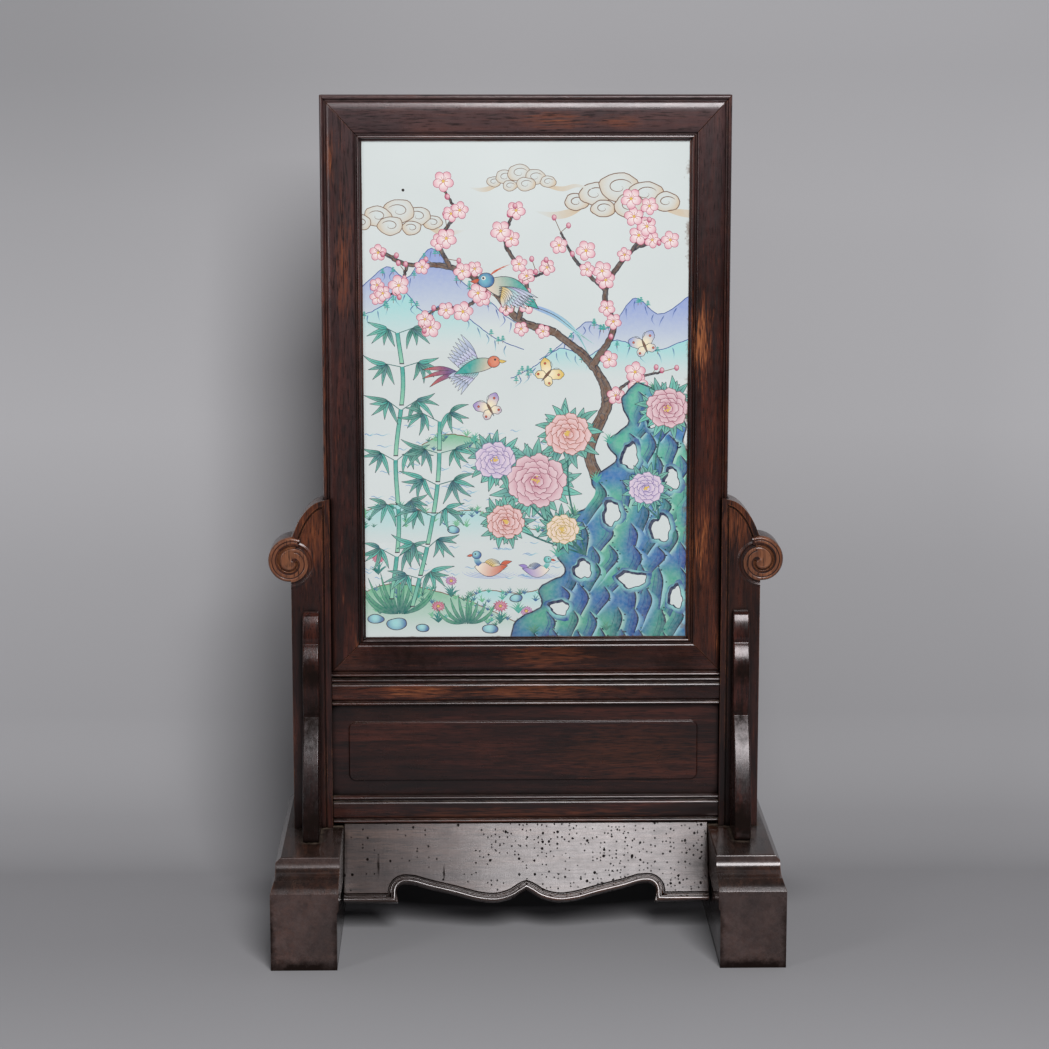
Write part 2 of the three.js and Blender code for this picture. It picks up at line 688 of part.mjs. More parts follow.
// End section of a foot in (x, z) from its inner face outwards.
function footSection(side) {
  const outer = FOOT_WIDTH;
  const base = FOOT_BASE_STEP;
  return [
    v2(base, 0),
    v2(outer, 0),
    v2(outer, FOOT_HEAD_HEIGHT),
    v2(outer - FOOT_BATTER, FOOT_HEAD_HEIGHT + FOOT_HEAD_BEVEL),
    v2(outer - FOOT_BATTER, FOOT_HEIGHT - FOOT_TOP_CHAMFER),
    v2(outer - FOOT_BATTER - FOOT_TOP_CHAMFER, FOOT_HEIGHT),
    v2(FOOT_INNER_CHAMFER, FOOT_HEIGHT),
    v2(0, FOOT_HEIGHT - FOOT_INNER_CHAMFER),
    v2(0, FOOT_CHEEK_BOTTOM),
    v2(base, FOOT_CHEEK_BOTTOM - base),
  ].map((p) => v2(side * (FOOT_INNER + p.x), p.y));
}

// The matrix that hangs an apron's flat board, or its mortise, at its slant.
function apronPlace(way) {
  const place = new THREE.Matrix4()
    .makeRotationX(-APRON_SLANT)
    .setPosition(0, -RAIL_FRONT, APRON_TOP);
  return way > 0 ? place.premultiply(new THREE.Matrix4().makeRotationZ(Math.PI)) : place;
}

function foot(side) {
  let body = prism(footProfile(), "x", -2 * FOOT_LENGTH, 2 * FOOT_LENGTH).intersect(
    prism(footSection(side), "y", -FOOT_LENGTH, FOOT_LENGTH),
  );
  const centre = side * POST_CENTRE;
  body = body.subtract(
    block(
      centre - POST_TENON_WIDTH / 2 - FIT,
      centre + POST_TENON_WIDTH / 2 + FIT,
      -POST_TENON_DEPTH / 2 - FIT,
      POST_TENON_DEPTH / 2 + FIT,
      FOOT_HEIGHT - POST_TENON_LENGTH - FIT,
      FOOT_HEIGHT + 1,
    ),
  );
  const stub = SPANDREL_TONGUE_THICKNESS / 2 + FIT;
  for (const way of [-1, 1]) {
    const ends = [way * (STUB_NEAR - FIT), way * (STUB_FAR + FIT)].sort((a, b) => a - b);
    body = body
      .subtract(
        block(
          centre - stub,
          centre + stub,
          ...ends,
          FOOT_HEIGHT - SPANDREL_STUB - FIT,
          FOOT_HEIGHT + 1,
        ),
      )
      .subtract(apronTenon(-way * side, FIT, apronPlace(way)));
  }
  return body;
}

// Spandrels

const STUB_NEAR = POST_FRONT + SPANDREL_STUB_NEAR;
const STUB_FAR = POST_FRONT + SPANDREL_STUB_FAR;
const DRAWN_SPANDREL = 176; // height at which the outline below is drawn

// Side outline in (reach in front of the post, height above the foot): a small
// top lobe, a cusp, a middle lobe, a cusp, and the long belly down to the toe.
function spandrelProfile() {
  const lobes = [
    curve([[4, 175.7], [8, 174], [10.5, 168], [12, 160], [12.5, 155]], 8),
    curve([[11.2, 152], [15, 146], [18, 136], [19.2, 122], [18.4, 106], [17.4, 98]], 12),
    curve(
      [[16.2, 95], [23, 84], [31, 67], [37.5, 46], [42, 26], [44, 13], [43.2, 5], [SPANDREL_FOOT_REACH, 0]],
      18,
    ),
  ];
  return lobes.flat();
}

function spandrel(way) {
  const base = FOOT_HEIGHT + FIT;
  const scale = (SPANDREL_TOP - FOOT_HEIGHT) / DRAWN_SPANDREL;
  const back = POST_FRONT + FIT;
  const outline = [
    v2(back, SPANDREL_TOP),
    ...spandrelProfile().map((p) => v2(POST_FRONT + p.x, Math.max(base, FOOT_HEIGHT + p.y * scale))),
    v2(back, base),
  ].map((p) => v2(way * p.x, p.y));
  const half = SPANDREL_THICKNESS / 2;
  const tongue = SPANDREL_TONGUE_THICKNESS / 2;
  const span = (a, b) => [way * a, way * b].sort((p, q) => p - q);
  return prism(outline, "x", -half, half)
    .add(
      block(
        -tongue,
        tongue,
        ...span(POST_FRONT - SPANDREL_TONGUE + FIT, back + 2),
        base,
        SPANDREL_TOP - SPANDREL_TONGUE_MARGIN,
      ),
    )
    .add(
      block(-tongue, tongue, ...span(STUB_NEAR, STUB_FAR), FOOT_HEIGHT - SPANDREL_STUB, base + 2),
    );
}

// Aprons

// Right half of the arch in (x, down the face), from the foot of its end to
// the middle cusp. The small numbers shape the line between its named places.
function archHalf() {
  const half = APRON_ARCH_WIDTH / 2;
  const w = APRON_WIDTH;
  const crown = w - APRON_ARCH_RISE;
  const r = APRON_ARCH_CORNER;
  return [
    v2(half - 1, w + 0.5),
    ...arc(half - r, crown + r, r, r, 0, -90, 6).map((p) => v2(p.x + 0.6, p.y)),
    ...curve(
      [
        [half - r - 6, crown + 0.6],
        [half * 0.75, crown + 4.2],
        [half * 0.55, w - 5.6],
        [half * 0.4, w - 1.4],
        [APRON_BELLY, w + 0.3],
        [APRON_BELLY - 8, w - 0.3],
        [APRON_BELLY - 17, w - 3],
        [4.5, w - APRON_CUSP_RISE + 2.6],
        [0, w - APRON_CUSP_RISE],
      ],
      22,
    ),
  ];
}

const archPath = () => {
  const right = archHalf();
  const left = right
    .slice(0, -1)
    .map((p) => v2(-p.x, p.y))
    .reverse();
  return [...right, ...left].map((p) => v2(p.x, -p.y));
};

const APRON_HALF = FOOT_INNER - FIT;

const apronTenon = (side, grow, place) =>
  block(
    side > 0 ? APRON_HALF - 2 : -APRON_HALF - FIT - APRON_TENON_LENGTH - grow,
    side > 0 ? APRON_HALF + FIT + APRON_TENON_LENGTH + grow : -APRON_HALF + 2,
    (APRON_THICKNESS - APRON_TENON_THICKNESS) / 2 - grow,
    (APRON_THICKNESS + APRON_TENON_THICKNESS) / 2 + grow,
    -APRON_TENON_BOTTOM - grow,
    -APRON_TENON_TOP + grow,
    place,
  );

// A flat board with the cusped arch, its top edge bevelled to sit level under
// the rail. Its face is cut back and has a quirk, which leave a bead along the
// lower edge.
function apron() {
  const w = APRON_WIDTH;
  const t = APRON_THICKNESS;
  const path = archPath();
  const outline = [
    v2(APRON_HALF, t),
    v2(APRON_HALF, -w),
    ...path,
    v2(-APRON_HALF, -w),
    v2(-APRON_HALF, t),
  ];
  const bevel = t * Math.tan(APRON_SLANT);
  const endView = [v2(0, 0), v2(0, -2 * w), v2(t, -2 * w), v2(t, bevel)];
  let body = prism(outline, "y", -1, t + 1).intersect(
    prism(endView, "x", -2 * APRON_HALF, 2 * APRON_HALF),
  );
  const quirk = APRON_BEAD + APRON_QUIRK;
  const beadTop = -w + APRON_BEAD; // along the straight ends of the lower edge
  const run = [v2(path[1].x, beadTop), ...path.slice(1, -1), v2(-path[1].x, beadTop)];
  const channel = strip(run, -quirk, -APRON_BEAD);
  const past = APRON_HALF + 1;
  const face = [
    v2(past, t + 1),
    v2(past, beadTop),
    ...channel.slice(run.length).reverse(),
    v2(-past, beadTop),
    v2(-past, t + 1),
  ];
  body = body
    .subtract(prism(face, "y", -1, APRON_BEAD_RISE))
    .subtract(prism(channel, "y", -1, APRON_QUIRK_DEPTH));
  for (const side of [-1, 1]) {
    const [near, far] = [side * (run[0].x + APRON_BEAD), side * past].sort((a, b) => a - b);
    body = body
      .subtract(block(near, far, -1, APRON_QUIRK_DEPTH, beadTop, -w + quirk))
      .add(apronTenon(side, 0));
  }
  return body;
}

// Assembly

const screen = new THREE.Group();
screen.name = "screen";
screen.position.z = SCREEN_SEAT;
screen.add(
  piece("frame_stile_left", stile(-1), screenWood),
  piece("frame_stile_right", stile(1), screenWood),
  piece("frame_rail_top", frameRail(true), screenWood),
  piece("frame_rail_bottom", frameRail(false), screenWood),
  piece("porcelain_plaque", infill(PLAQUE_FRONT, PLAQUE_THICKNESS), porcelain),
  piece("back_board", backBoard(), boardWood),
);
["lower", "upper"].forEach((level, i) => {
  const mesh = piece(`batten_${level}`, batten(), boardWood);
  mesh.position.z = battenHeights[i];
  screen.add(mesh);
});

const stand = new THREE.Group();
stand.name = "stand";
for (const [side, hand] of [[-1, "left"], [1, "right"]]) {
  const mesh = piece(`post_${hand}`, post(side), standWood);
  mesh.position.x = side * POST_CENTRE;
  stand.add(mesh, piece(`foot_${hand}`, foot(side), standWood));
  for (const [way, end] of [[-1, "front"], [1, "rear"]]) {
    const prop = piece(`spandrel_${end}_${hand}`, spandrel(way), standWood);
    prop.position.x = side * POST_CENTRE;
    stand.add(prop);
  }
}
stand.add(
  piece("rail_upper", standRail(WAIST_TOP, UPPER_RAIL_HEIGHT, UPPER_TENON, -1), standWood),
  piece("rail_lower", standRail(LOWER_RAIL_BOTTOM, LOWER_RAIL_HEIGHT, LOWER_TENON, 1), standWood),
);
const panel = piece("waist_panel", waistPanel(), standWood);
panel.position.x = PANEL_SHIFT;
stand.add(panel);
for (const [way, end] of [[-1, "front"], [1, "rear"]]) {
  const mesh = piece(`apron_${end}`, apron(), apronWood);
  mesh.applyMatrix4(apronPlace(way));
  stand.add(mesh);
}

const tableScreen = new THREE.Group();
tableScreen.name = "table_screen";
tableScreen.add(stand, screen);

export default tableScreen;
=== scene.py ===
"""A hardwood table screen with a painted porcelain plaque, at the photograph's view.

Metres, +Z up, the front faces -Y. Wooden pieces are finished copies of the
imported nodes: welded, softened along their edges and given wood that runs the
way each piece was cut. The plaque's enamel design is drawn in numpy.
"""
from math import cos, pi, radians, sin

import bmesh
import bpy
import numpy as np
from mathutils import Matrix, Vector


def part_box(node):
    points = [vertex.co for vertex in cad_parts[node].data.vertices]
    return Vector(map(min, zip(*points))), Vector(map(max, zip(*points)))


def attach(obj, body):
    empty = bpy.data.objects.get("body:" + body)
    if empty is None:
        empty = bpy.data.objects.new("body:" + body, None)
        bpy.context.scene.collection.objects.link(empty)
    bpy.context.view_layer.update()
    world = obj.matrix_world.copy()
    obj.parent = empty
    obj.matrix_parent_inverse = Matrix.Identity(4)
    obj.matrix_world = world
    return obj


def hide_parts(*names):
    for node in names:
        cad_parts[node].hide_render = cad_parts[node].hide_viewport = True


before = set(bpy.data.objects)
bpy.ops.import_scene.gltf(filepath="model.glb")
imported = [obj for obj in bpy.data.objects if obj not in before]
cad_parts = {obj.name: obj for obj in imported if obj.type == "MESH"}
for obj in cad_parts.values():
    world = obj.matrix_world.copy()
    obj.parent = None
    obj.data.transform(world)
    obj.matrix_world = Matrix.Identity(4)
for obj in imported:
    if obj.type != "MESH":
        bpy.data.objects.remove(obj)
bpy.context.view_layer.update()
MM = 0.001

# The plaque's visible field (left, right, bottom, top) and its front face, from
# the frame members around it
SIGHT = (
    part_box("frame_stile_left")[1][0],
    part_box("frame_stile_right")[0][0],
    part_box("frame_rail_bottom")[1][2],
    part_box("frame_rail_top")[0][2],
)
PLAQUE_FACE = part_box("porcelain_plaque")[0][1]
PINHOLE = (SIGHT[0] + 31 * MM, PLAQUE_FACE, SIGHT[3] - 37 * MM)

# Camera

IMAGE = 1049
LENS_PIXELS = 2930  # focal length in pixels of the photograph
SENSOR = 36  # millimetres
CAMERA_AT = (-0.0454, -2.2242, 0.7074)
CAMERA_DOWN = 0.1736  # radians below level
CAMERA_RIGHT = 0.0200  # radians towards +X


def add_object(name, data):
    """A new object at the origin, in the scene."""
    made = bpy.data.objects.new(name, data)
    bpy.context.scene.collection.objects.link(made)
    return made


def make_camera():
    """The photograph's camera: an unshifted lens that looks a little down."""
    camera = add_object("camera", bpy.data.cameras.new("camera"))
    camera.data.sensor_width = SENSOR
    camera.data.lens = SENSOR * LENS_PIXELS / IMAGE
    camera.data.clip_start = 0.05
    camera.location = CAMERA_AT
    camera.rotation_euler = (pi / 2 - CAMERA_DOWN, 0, -CAMERA_RIGHT)
    bpy.context.scene.camera = camera


# Shader nodes


class Shader:
    """A material's node tree, with short calls for the nodes used here."""

    def __init__(self, name):
        self.material = bpy.data.materials.new(name)
        self.material.use_nodes = True
        self.tree = self.material.node_tree
        self.tree.nodes.clear()
        self.surface = self.node("BsdfPrincipled")
        self.output = self.node("OutputMaterial", {0: self.surface.outputs[0]})
        self.coords = self.node("TexCoord").outputs["Object"]

    def node(self, kind, inputs=(), **settings):
        made = self.tree.nodes.new(f"ShaderNode{kind}")
        for key, value in settings.items():
            setattr(made, key, value)
        self.feed(made, inputs)
        return made

    def feed(self, node, inputs):
        """Feed each socket from another node's output, or with a plain value."""
        for socket, value in dict(inputs).items():
            if isinstance(value, bpy.types.NodeSocket):
                self.tree.links.new(value, node.inputs[socket])
            else:
                node.inputs[socket].default_value = value

    def finish(self, inputs):
        """Feed the Principled node, and give the material."""
        self.feed(self.surface, inputs)
        return self.material

    def mapped(self, scale, location):
        return self.node("Mapping", {"Vector": self.coords, "Scale": scale, "Location": location}).outputs[0]

    def noise(self, vector, scale, detail, rough, distortion=0.0):
        fed = {"Vector": vector, "Scale": scale, "Detail": detail, "Roughness": rough}
        return self.node("TexNoise", {**fed, "Distortion": distortion}).outputs["Fac"]

    def ramp(self, value, *stops, smooth=False):
        """Colours, or greys given as one number, at places along a value."""
        made = self.node("ValToRGB", {0: value})
        bar = made.color_ramp
        if smooth:
            bar.interpolation = "EASE"
        while len(bar.elements) < len(stops):
            bar.elements.new(0.5)
        for element, (at, tone) in zip(bar.elements, stops):
            element.position = at
            element.color = (*np.broadcast_to(tone, 3).astype(float), 1)
        return made.outputs[0]

    def math(self, operation, a, b=0.0, clamp=False):
        return self.node("Math", {0: a, 1: b}, operation=operation, use_clamp=clamp).outputs[0]

    def plus(self, total, *others):
        for other in others:
            total = self.math("ADD", total, other)
        return total

    def times(self, product, *others):
        for other in others:
            product = self.math("MULTIPLY", product, other)
        return product

    def less(self, amount):
        """1 less the amount."""
        return self.math("SUBTRACT", 1.0, amount)

    def mix(self, factor, colour, tone):
        """The colour, turned by the factor into one plain tone."""
        return self.node("Mix", {0: factor, 6: colour, 7: (*tone, 1)}, data_type="RGBA").outputs[2]

    def bump(self, height, distance, strength, under=()):
        """A normal for the height, laid over another normal where `under` names one."""
        fed = {"Height": height, "Distance": distance, "Strength": strength, **dict(under)}
        return self.node("Bump", fed).outputs[0]

    def axes(self, vector):
        """The outputs for a vector's x, y and z."""
        return self.node("SeparateXYZ", {0: vector}).outputs

    def span(self, value, start, end, first=0.0, last=1.0):
        """From `first` where the value is `start`, evenly to `last` where it is `end`."""
        fed = {"Value": value, "From Min": start, "From Max": end, "To Min": first, "To Max": last}
        return self.node("MapRange", fed).outputs[0]

    def vector(self, operation, a, b=(0, 0, 0)):
        return self.node("VectorMath", {0: a, 1: b}, operation=operation).outputs["Value"]

    def geometry(self, output):
        return self.node("NewGeometry").outputs[output]

    def patch(self, centre, reach):
        """1 at the centre of an oval place, falling to 0 at its reach; both in millimetres."""
        scale = [1 / (r * MM) for r in reach]
        place = self.mapped(scale, [-c * MM * k for c, k in zip(centre, scale)])
        return self.ramp(self.vector("LENGTH", place), (0, 1), (1, 0), smooth=True)


def rgb(r, g, b):
    """A colour as it shows on the screen, 0 to 255, in linear light."""
    c = np.array([r, g, b]) / 255
    linear = np.where(c <= 0.04045, c / 12.92, ((c + 0.055) / 1.055) ** 2.4)
    return tuple(float(v) for v in linear)


# Materials

GRAIN_STRETCH = {"x": (1, 14, 14), "y": (14, 1, 14), "z": (14, 14, 1)}  # the figure runs long with the grain
CHATTER_STRETCH = {"x": (14, 1, 1), "y": (1, 14, 1), "z": (1, 1, 14)}  # ripples that a scraper leaves
WORN = rgb(126, 68, 40)
BARE = rgb(170, 108, 66)
ARRIS = rgb(150, 94, 60)
PAINTED_SHEEN_VIOLET = rgb(84, 66, 68)
GRIME_AND_SHADE = rgb(11, 7, 6)
DULL_STAIN_AND_SHADE = rgb(26, 19, 17)
PIT = rgb(12, 8, 7)
END_GRAIN_AND_SHEEN = rgb(84, 69, 66)
DUST = rgb(112, 98, 86)
ARRIS_RADIUS = 1.6 * MM
QUIRK_REACH = 7 * MM


def wood(name, grain, tones, polish=0.24, coat=0.25, warm=0.3, rubbed=0.25, dust=0.0, seed=0.0,
         grime_and_shade=0.97, bloom=None, end_grain=0.0, patches=(), stains=(), sheen=None, holes=False):
    """Old polished hardwood.

    Long noise gives the figure, narrower noise the streaks and pores. The warm
    tone shows through broad noise times `warm`, and through the streaks of the
    `patches` that hands have rubbed. A rounded normal that leaves the true one
    marks the arrises, and occlusion within a few millimetres marks the quirks,
    which hold grime, dust and painted shade. `bloom` gives the
    heights in millimetres between which a violet veil of painted sheen comes over
    the polish, `end_grain` greys and lightens the faces across the
    grain, partly as painted reflection of the floor, `stains` are dull
    dark places, real stains and painted shade, and `sheen` is the one place, as
    centre and reach, that keeps its full polish.
    """
    dark, mid, light = tones
    s = Shader(name)
    at = (seed * 1.7, seed * 2.3, seed * 0.9)
    along = s.mapped(GRAIN_STRETCH[grain], at)
    plain = s.mapped((1, 1, 1), at)
    figure = s.noise(along, 4, 6, 0.62, 0.6)
    streak = s.noise(along, 17, 4, 0.65, 0.3)
    pores = s.noise(along, 95, 2, 0.5)
    thread = s.noise(along, 48, 3, 0.6)
    broad = s.noise(plain, 8, 4, 0.6)
    fine = s.noise(plain, 140, 4, 0.7)
    colour = s.ramp(figure, (0.32, dark), (0.5, mid), (0.72, light))
    colour = s.mix(s.ramp(streak, (0.36, 0.7), (0.54, 0)), colour, dark)
    colour = s.mix(s.ramp(thread, (0.36, 0.4), (0.5, 0)), colour, dark)
    # painted sheen: a violet veil over the polish between the given heights
    if bloom:
        veil = s.times(s.span(s.axes(s.coords)[2], bloom[0] * MM, bloom[1] * MM),
                       s.ramp(broad, (0.34, 0.3), (0.6, 0.75)), s.ramp(thread, (0.38, 0.75), (0.6, 1)))
        colour = s.mix(veil, colour, PAINTED_SHEEN_VIOLET)
    rub = s.times(s.ramp(broad, (0.48, 0), (0.72, warm)), s.ramp(streak, (0.4, 0.3), (0.62, 1)))
    for centre, reach, strength in patches:
        streaky = s.plus(s.patch(centre, reach), streak, s.times(thread, 1.6), s.times(pores, 1.2))
        streaky = s.times(s.math("SUBTRACT", streaky, 2.2, clamp=True), 1.7 * strength)
        rub = s.math("MAXIMUM", rub, s.math("MINIMUM", streaky, 0.95))
    colour = s.mix(rub, colour, WORN)
    colour = s.mix(s.ramp(rub, (0.55, 0), (1, 0.55)), colour, BARE)
    colour = s.mix(s.ramp(pores, (0.34, 0.75), (0.46, 0)), colour, GRIME_AND_SHADE)

    rounded = s.node("Bevel", {"Radius": ARRIS_RADIUS}, samples=4).outputs[0]
    arris = s.ramp(s.vector("DOT_PRODUCT", rounded, s.geometry("Normal")), (0.7, 1), (0.98, 0))
    open_air = s.node("AmbientOcclusion", {"Distance": QUIRK_REACH}, samples=6).outputs["AO"]
    # grime and painted shade in the quirks, darkest where occlusion is deepest
    quirk_grime_and_shade = s.ramp(open_air, (0.38, grime_and_shade), (0.84, 0))
    shine = s.ramp(open_air, (0.4, 0), (0.78, 1))
    if sheen:
        shine = s.times(shine, s.ramp(s.patch(*sheen), (0, 0.28), (1, 1)))
    edge = s.times(arris, s.ramp(fine, (0.4, 0.1), (0.6, 1)),
                   s.ramp(broad, (0.42, 0.1 * rubbed), (0.62, rubbed)), s.ramp(open_air, (0.45, 0), (0.8, 1)))
    colour = s.mix(edge, colour, ARRIS)
    colour = s.mix(quirk_grime_and_shade, colour, GRIME_AND_SHADE)
    rough = s.plus(
        s.ramp(broad, (0.3, polish + 0.07), (0.6, polish)),
        s.ramp(fine, (0.35, 0.06), (0.65, 0)),
        s.ramp(thread, (0.36, 0.05), (0.56, 0)),
    )
    rough = s.plus(s.times(rough, s.ramp(arris, (0, 1), (0.8, 0.6))), s.times(quirk_grime_and_shade, 0.45))
    # faces across the grain turn greyer and lighter: end grain, and painted reflection of the floor
    if end_grain:
        facing = s.math("ABSOLUTE", s.axes(s.geometry("Normal"))["xyz".index(grain)])
        flecks = s.ramp(s.noise(plain, 130, 6, 0.8), (0.34, 0.3), (0.66, 1))
        across = s.times(s.ramp(facing, (0.75, 0), (0.97, end_grain)), flecks,
                         s.ramp(broad, (0.4, 0.35), (0.58, 1)))
        colour = s.mix(across, colour, END_GRAIN_AND_SHEEN)
        rough = s.plus(rough, s.times(across, 0.12))
    # dark dull places: real stains, painted shadow in the seam under the frame, painted shade on the
    # spandrels, and darker edges on the feet
    for centre, reach, strength in stains:
        stain_and_shade = s.plus(s.patch(centre, reach), s.times(fine, 1.2), s.times(broad, 0.8))
        stain_and_shade = s.times(s.math("SUBTRACT", stain_and_shade, 1.3, clamp=True), 1.6 * strength)
        stain_and_shade = s.math("MINIMUM", stain_and_shade, 1.0)
        colour = s.mix(stain_and_shade, colour, DULL_STAIN_AND_SHADE)
        shine = s.times(shine, s.less(s.times(stain_and_shade, 0.94)))
    if dust:
        level = s.ramp(s.axes(s.geometry("Normal"))[2], (0.35, 0), (0.85, 1))
        corner = s.ramp(open_air, (0.3, 1), (0.78, 0.04))
        settled = s.times(level, corner, s.ramp(fine, (0.42, 0.1 * dust), (0.6, dust)))
        colour = s.mix(settled, colour, DUST)
        rough = s.plus(rough, s.times(settled, 0.4))
    height = s.plus(s.times(pores, 0.5), s.times(thread, 0.35))
    if holes:
        pit = insect_holes(s)
        # the near-black of each insect hole is painted shade inside it
        colour = s.mix(pit, colour, PIT)
        height = s.math("SUBTRACT", height, s.times(pit, 3.0))
        rough = s.math("MAXIMUM", rough, pit)
        shine = s.times(shine, s.less(pit))
    hand_cut = s.bump(s.noise(plain, 26, 2, 0.5), 0.6 * MM, 0.3)
    ripples = s.noise(s.mapped(CHATTER_STRETCH[grain], at), 50, 2, 0.6)
    chatter = s.bump(ripples, 0.05 * MM, 0.35, {"Normal": hand_cut})
    return s.finish({
        "Base Color": colour,
        "Roughness": rough,
        "Specular IOR Level": s.times(shine, 0.45),
        "Specular Tint": (1, 0.93, 0.95, 1),
        "Coat Weight": s.times(shine, coat),
        "Coat Roughness": 0.1,
        "Normal": s.bump(height, 0.06 * MM, 0.6, {"Normal": chatter}),
    })


def insect_holes(s):
    """1 where a borer left a hole: round spots in random cells, crowded to the right."""
    x, _, z = s.axes(s.coords)
    face = s.node("CombineXYZ", {0: x, 1: z}).outputs[0]
    cluster = s.ramp(s.noise(s.coords, 26, 2, 0.5), (0.32, 0.12), (0.64, 0.5))
    rightwards = s.ramp(s.span(x, -60 * MM, 60 * MM), (0, 0.15), (0.4, 0.9), (1, 1))
    density = s.times(cluster, rightwards)
    holes = 0.0
    for cells_per_metre, least in ((170, 0.11), (330, 0.15)):
        fed = {"Vector": face, "Scale": cells_per_metre}
        cells = s.node("TexVoronoi", fed, feature="F1", voronoi_dimensions="2D").outputs
        chance = s.node("SeparateColor", {0: cells["Color"]}).outputs
        radius = s.plus(s.times(chance[1], 0.07), least)
        present = s.math("LESS_THAN", chance[0], density)
        spot = s.times(present, s.math("LESS_THAN", cells["Distance"], radius))
        holes = s.math("MAXIMUM", spot, holes)
    return holes


def rim_stains(s, colour):
    """Rust-brown stains that creep in from the plaque's rim, most on the right."""
    x, _, z = s.axes(s.coords)
    left, right, bottom, top = SIGHT
    nearest = 1.0
    for upper, lower, slowness in ((right, x, 0.8), (x, left, 8), (top, z, 5), (z, bottom, 3)):
        nearest = s.math("MINIMUM", s.times(s.math("SUBTRACT", upper, lower), slowness), nearest)
    spread = s.plus(s.noise(s.coords, 55, 5, 0.7), s.span(nearest, 0, 6 * MM, 0.18, -0.12))
    return s.mix(s.ramp(spread, (0.66, 0), (0.74, 0.55), (0.86, 0.95)), colour, rgb(118, 84, 60))


def porcelain_glaze():
    """Cool white glaze with faint clouding, rim stains and one dark pinhole."""
    s = Shader("porcelain_glaze")
    clouded = s.ramp(s.noise(s.coords, 6, 3, 0.5), (0.3, rgb(212, 219, 218)), (0.7, rgb(221, 227, 226)))
    pinhole = s.math("LESS_THAN", s.vector("DISTANCE", s.coords, PINHOLE), 1.1 * MM)
    return glazed(s, s.mix(pinhole, rim_stains(s, clouded), rgb(50, 44, 42)))


def enamel_colours():
    """Glassy enamel in the mesh's own tints, mottled and stained as the glaze is."""
    s = Shader("enamel")
    tint = s.node("Attribute", attribute_name="tint").outputs["Color"]
    cloudy = s.ramp(s.noise(s.coords, 380, 3, 0.6), (0.3, 0), (0.7, 0.16))
    return glazed(s, rim_stains(s, s.mix(cloudy, tint, GLAZE)))


def glazed(s, colour):
    """That colour under a glassy, slightly uneven coat."""
    return s.finish({
        "Base Color": colour,
        "Roughness": 0.2,
        "Coat Weight": 0.5,
        "Coat Roughness": 0.06,
        "Normal": s.bump(s.noise(s.coords, 120, 2, 0.5), 0.06 * MM, 0.25),
    })


SCREEN_TONES = (rgb(17, 7, 6), rgb(50, 22, 17), rgb(84, 40, 28))
STAND_TONES = (rgb(17, 8, 7), rgb(42, 20, 17), rgb(74, 36, 28))
SCROLL_TONES = (rgb(88, 53, 37), rgb(124, 76, 51), rgb(154, 104, 73))
FOOT_TONES = (rgb(22, 15, 14), rgb(38, 27, 24), rgb(60, 42, 35))
APRON_TONES = (rgb(36, 27, 25), rgb(60, 46, 41), rgb(86, 66, 57))
BOARD_TONES = (rgb(70, 46, 30), rgb(98, 68, 46), rgb(126, 92, 64))

# Where hands have rubbed through to the warm tone, and dull dark places: real
# stains, painted shadow and painted shade, and darker edges on the feet. Each is
# an oval place, as centre and reach in millimetres, and strength
RUBBED_PLACES = {
    "frame_stile_left": [
        ((-148, -20, 600), (8, 40, 34), 0.5),
        ((-138, -20, 520), (12, 40, 80), 0.4),
        ((-154, -20, 380), (4, 40, 220), 0.5),
        ((-130, -20, 214), (6, 40, 34), 0.7),
    ],
    "frame_stile_right": [
        ((133, -20, 462), (15, 40, 58), 1.0),
        ((135, -20, 302), (18, 40, 60), 0.7),
        ((152, -20, 226), (12, 40, 30), 0.7),
    ],
    "frame_rail_top": [((24, -20, 627), (50, 40, 14), 0.5), ((68, -20, 625), (36, 40, 12), 0.4)],
    "frame_rail_bottom": [((14, -20, 214), (70, 40, 16), 0.45)],
    "rail_upper": [((-84, -20, 188), (70, 40, 12), 0.5), ((0, -20, 188), (130, 40, 12), 0.4)],
    "rail_lower": [((-10, -20, 86), (200, 40, 16), 0.25)],
    "waist_panel": [((80, -14, 138), (110, 40, 40), 0.12)],
    "post_left": [((-166, -14, 316), (26, 60, 60), 0.4)],
    "post_right": [((162, -14, 322), (20, 60, 40), 0.4)],
}
RAIL_STAINS = [((-92, -20, 216), (70, 60, 30), 0.7), ((118, -20, 212), (40, 60, 24), 0.5)]
# painted shadow in the seam between the frame's bottom rail and the upper rail
SEAM_PAINTED_SHADOW = [((0, -22, 198.6), (600, 60, 2.4), 1.0)]
# darker bands along the sides and bottom of each foot's front
FOOT_FRONT_DARKENING = []
# painted shade on the spandrels' lobes, above and below where each keeps its highlight
SPANDREL_PAINTED_SHADE = []
for side in (-1, 1):
    for x, z, reach in ((139, 20, (13, 40, 80)), (197, 20, (13, 40, 80)), (168, 0, (80, 40, 13))):
        FOOT_FRONT_DARKENING.append(((side * x, -120, z), reach, 1.1))
    for z, reach in ((169, 36), (96, 32), (206, 20)):
        SPANDREL_PAINTED_SHADE.append(((side * 164, -60, z), (30, 90, reach), 1.1))
APRON_SHEEN = ((26, -30, 60), (190, 400, 400))
APRON_STAINS = [
    ((138, -30, 56), (40, 60, 44), 0.55),
    ((-115, -36, 52), (2.2, 60, 16), 1.0),
    ((-64, -36, 48), (1.8, 60, 12), 1.0),
]

# Finished pieces

SOFT_ANGLE = radians(32)  # an edge that turns more than this is an arris
FLAT_ANGLE = radians(0.6)


def opened(mesh, gap):
    """The mesh opened for work, with the points that lie within the gap welded."""
    work = bmesh.new()
    work.from_mesh(mesh)
    bmesh.ops.remove_doubles(work, verts=work.verts, dist=gap)
    return work


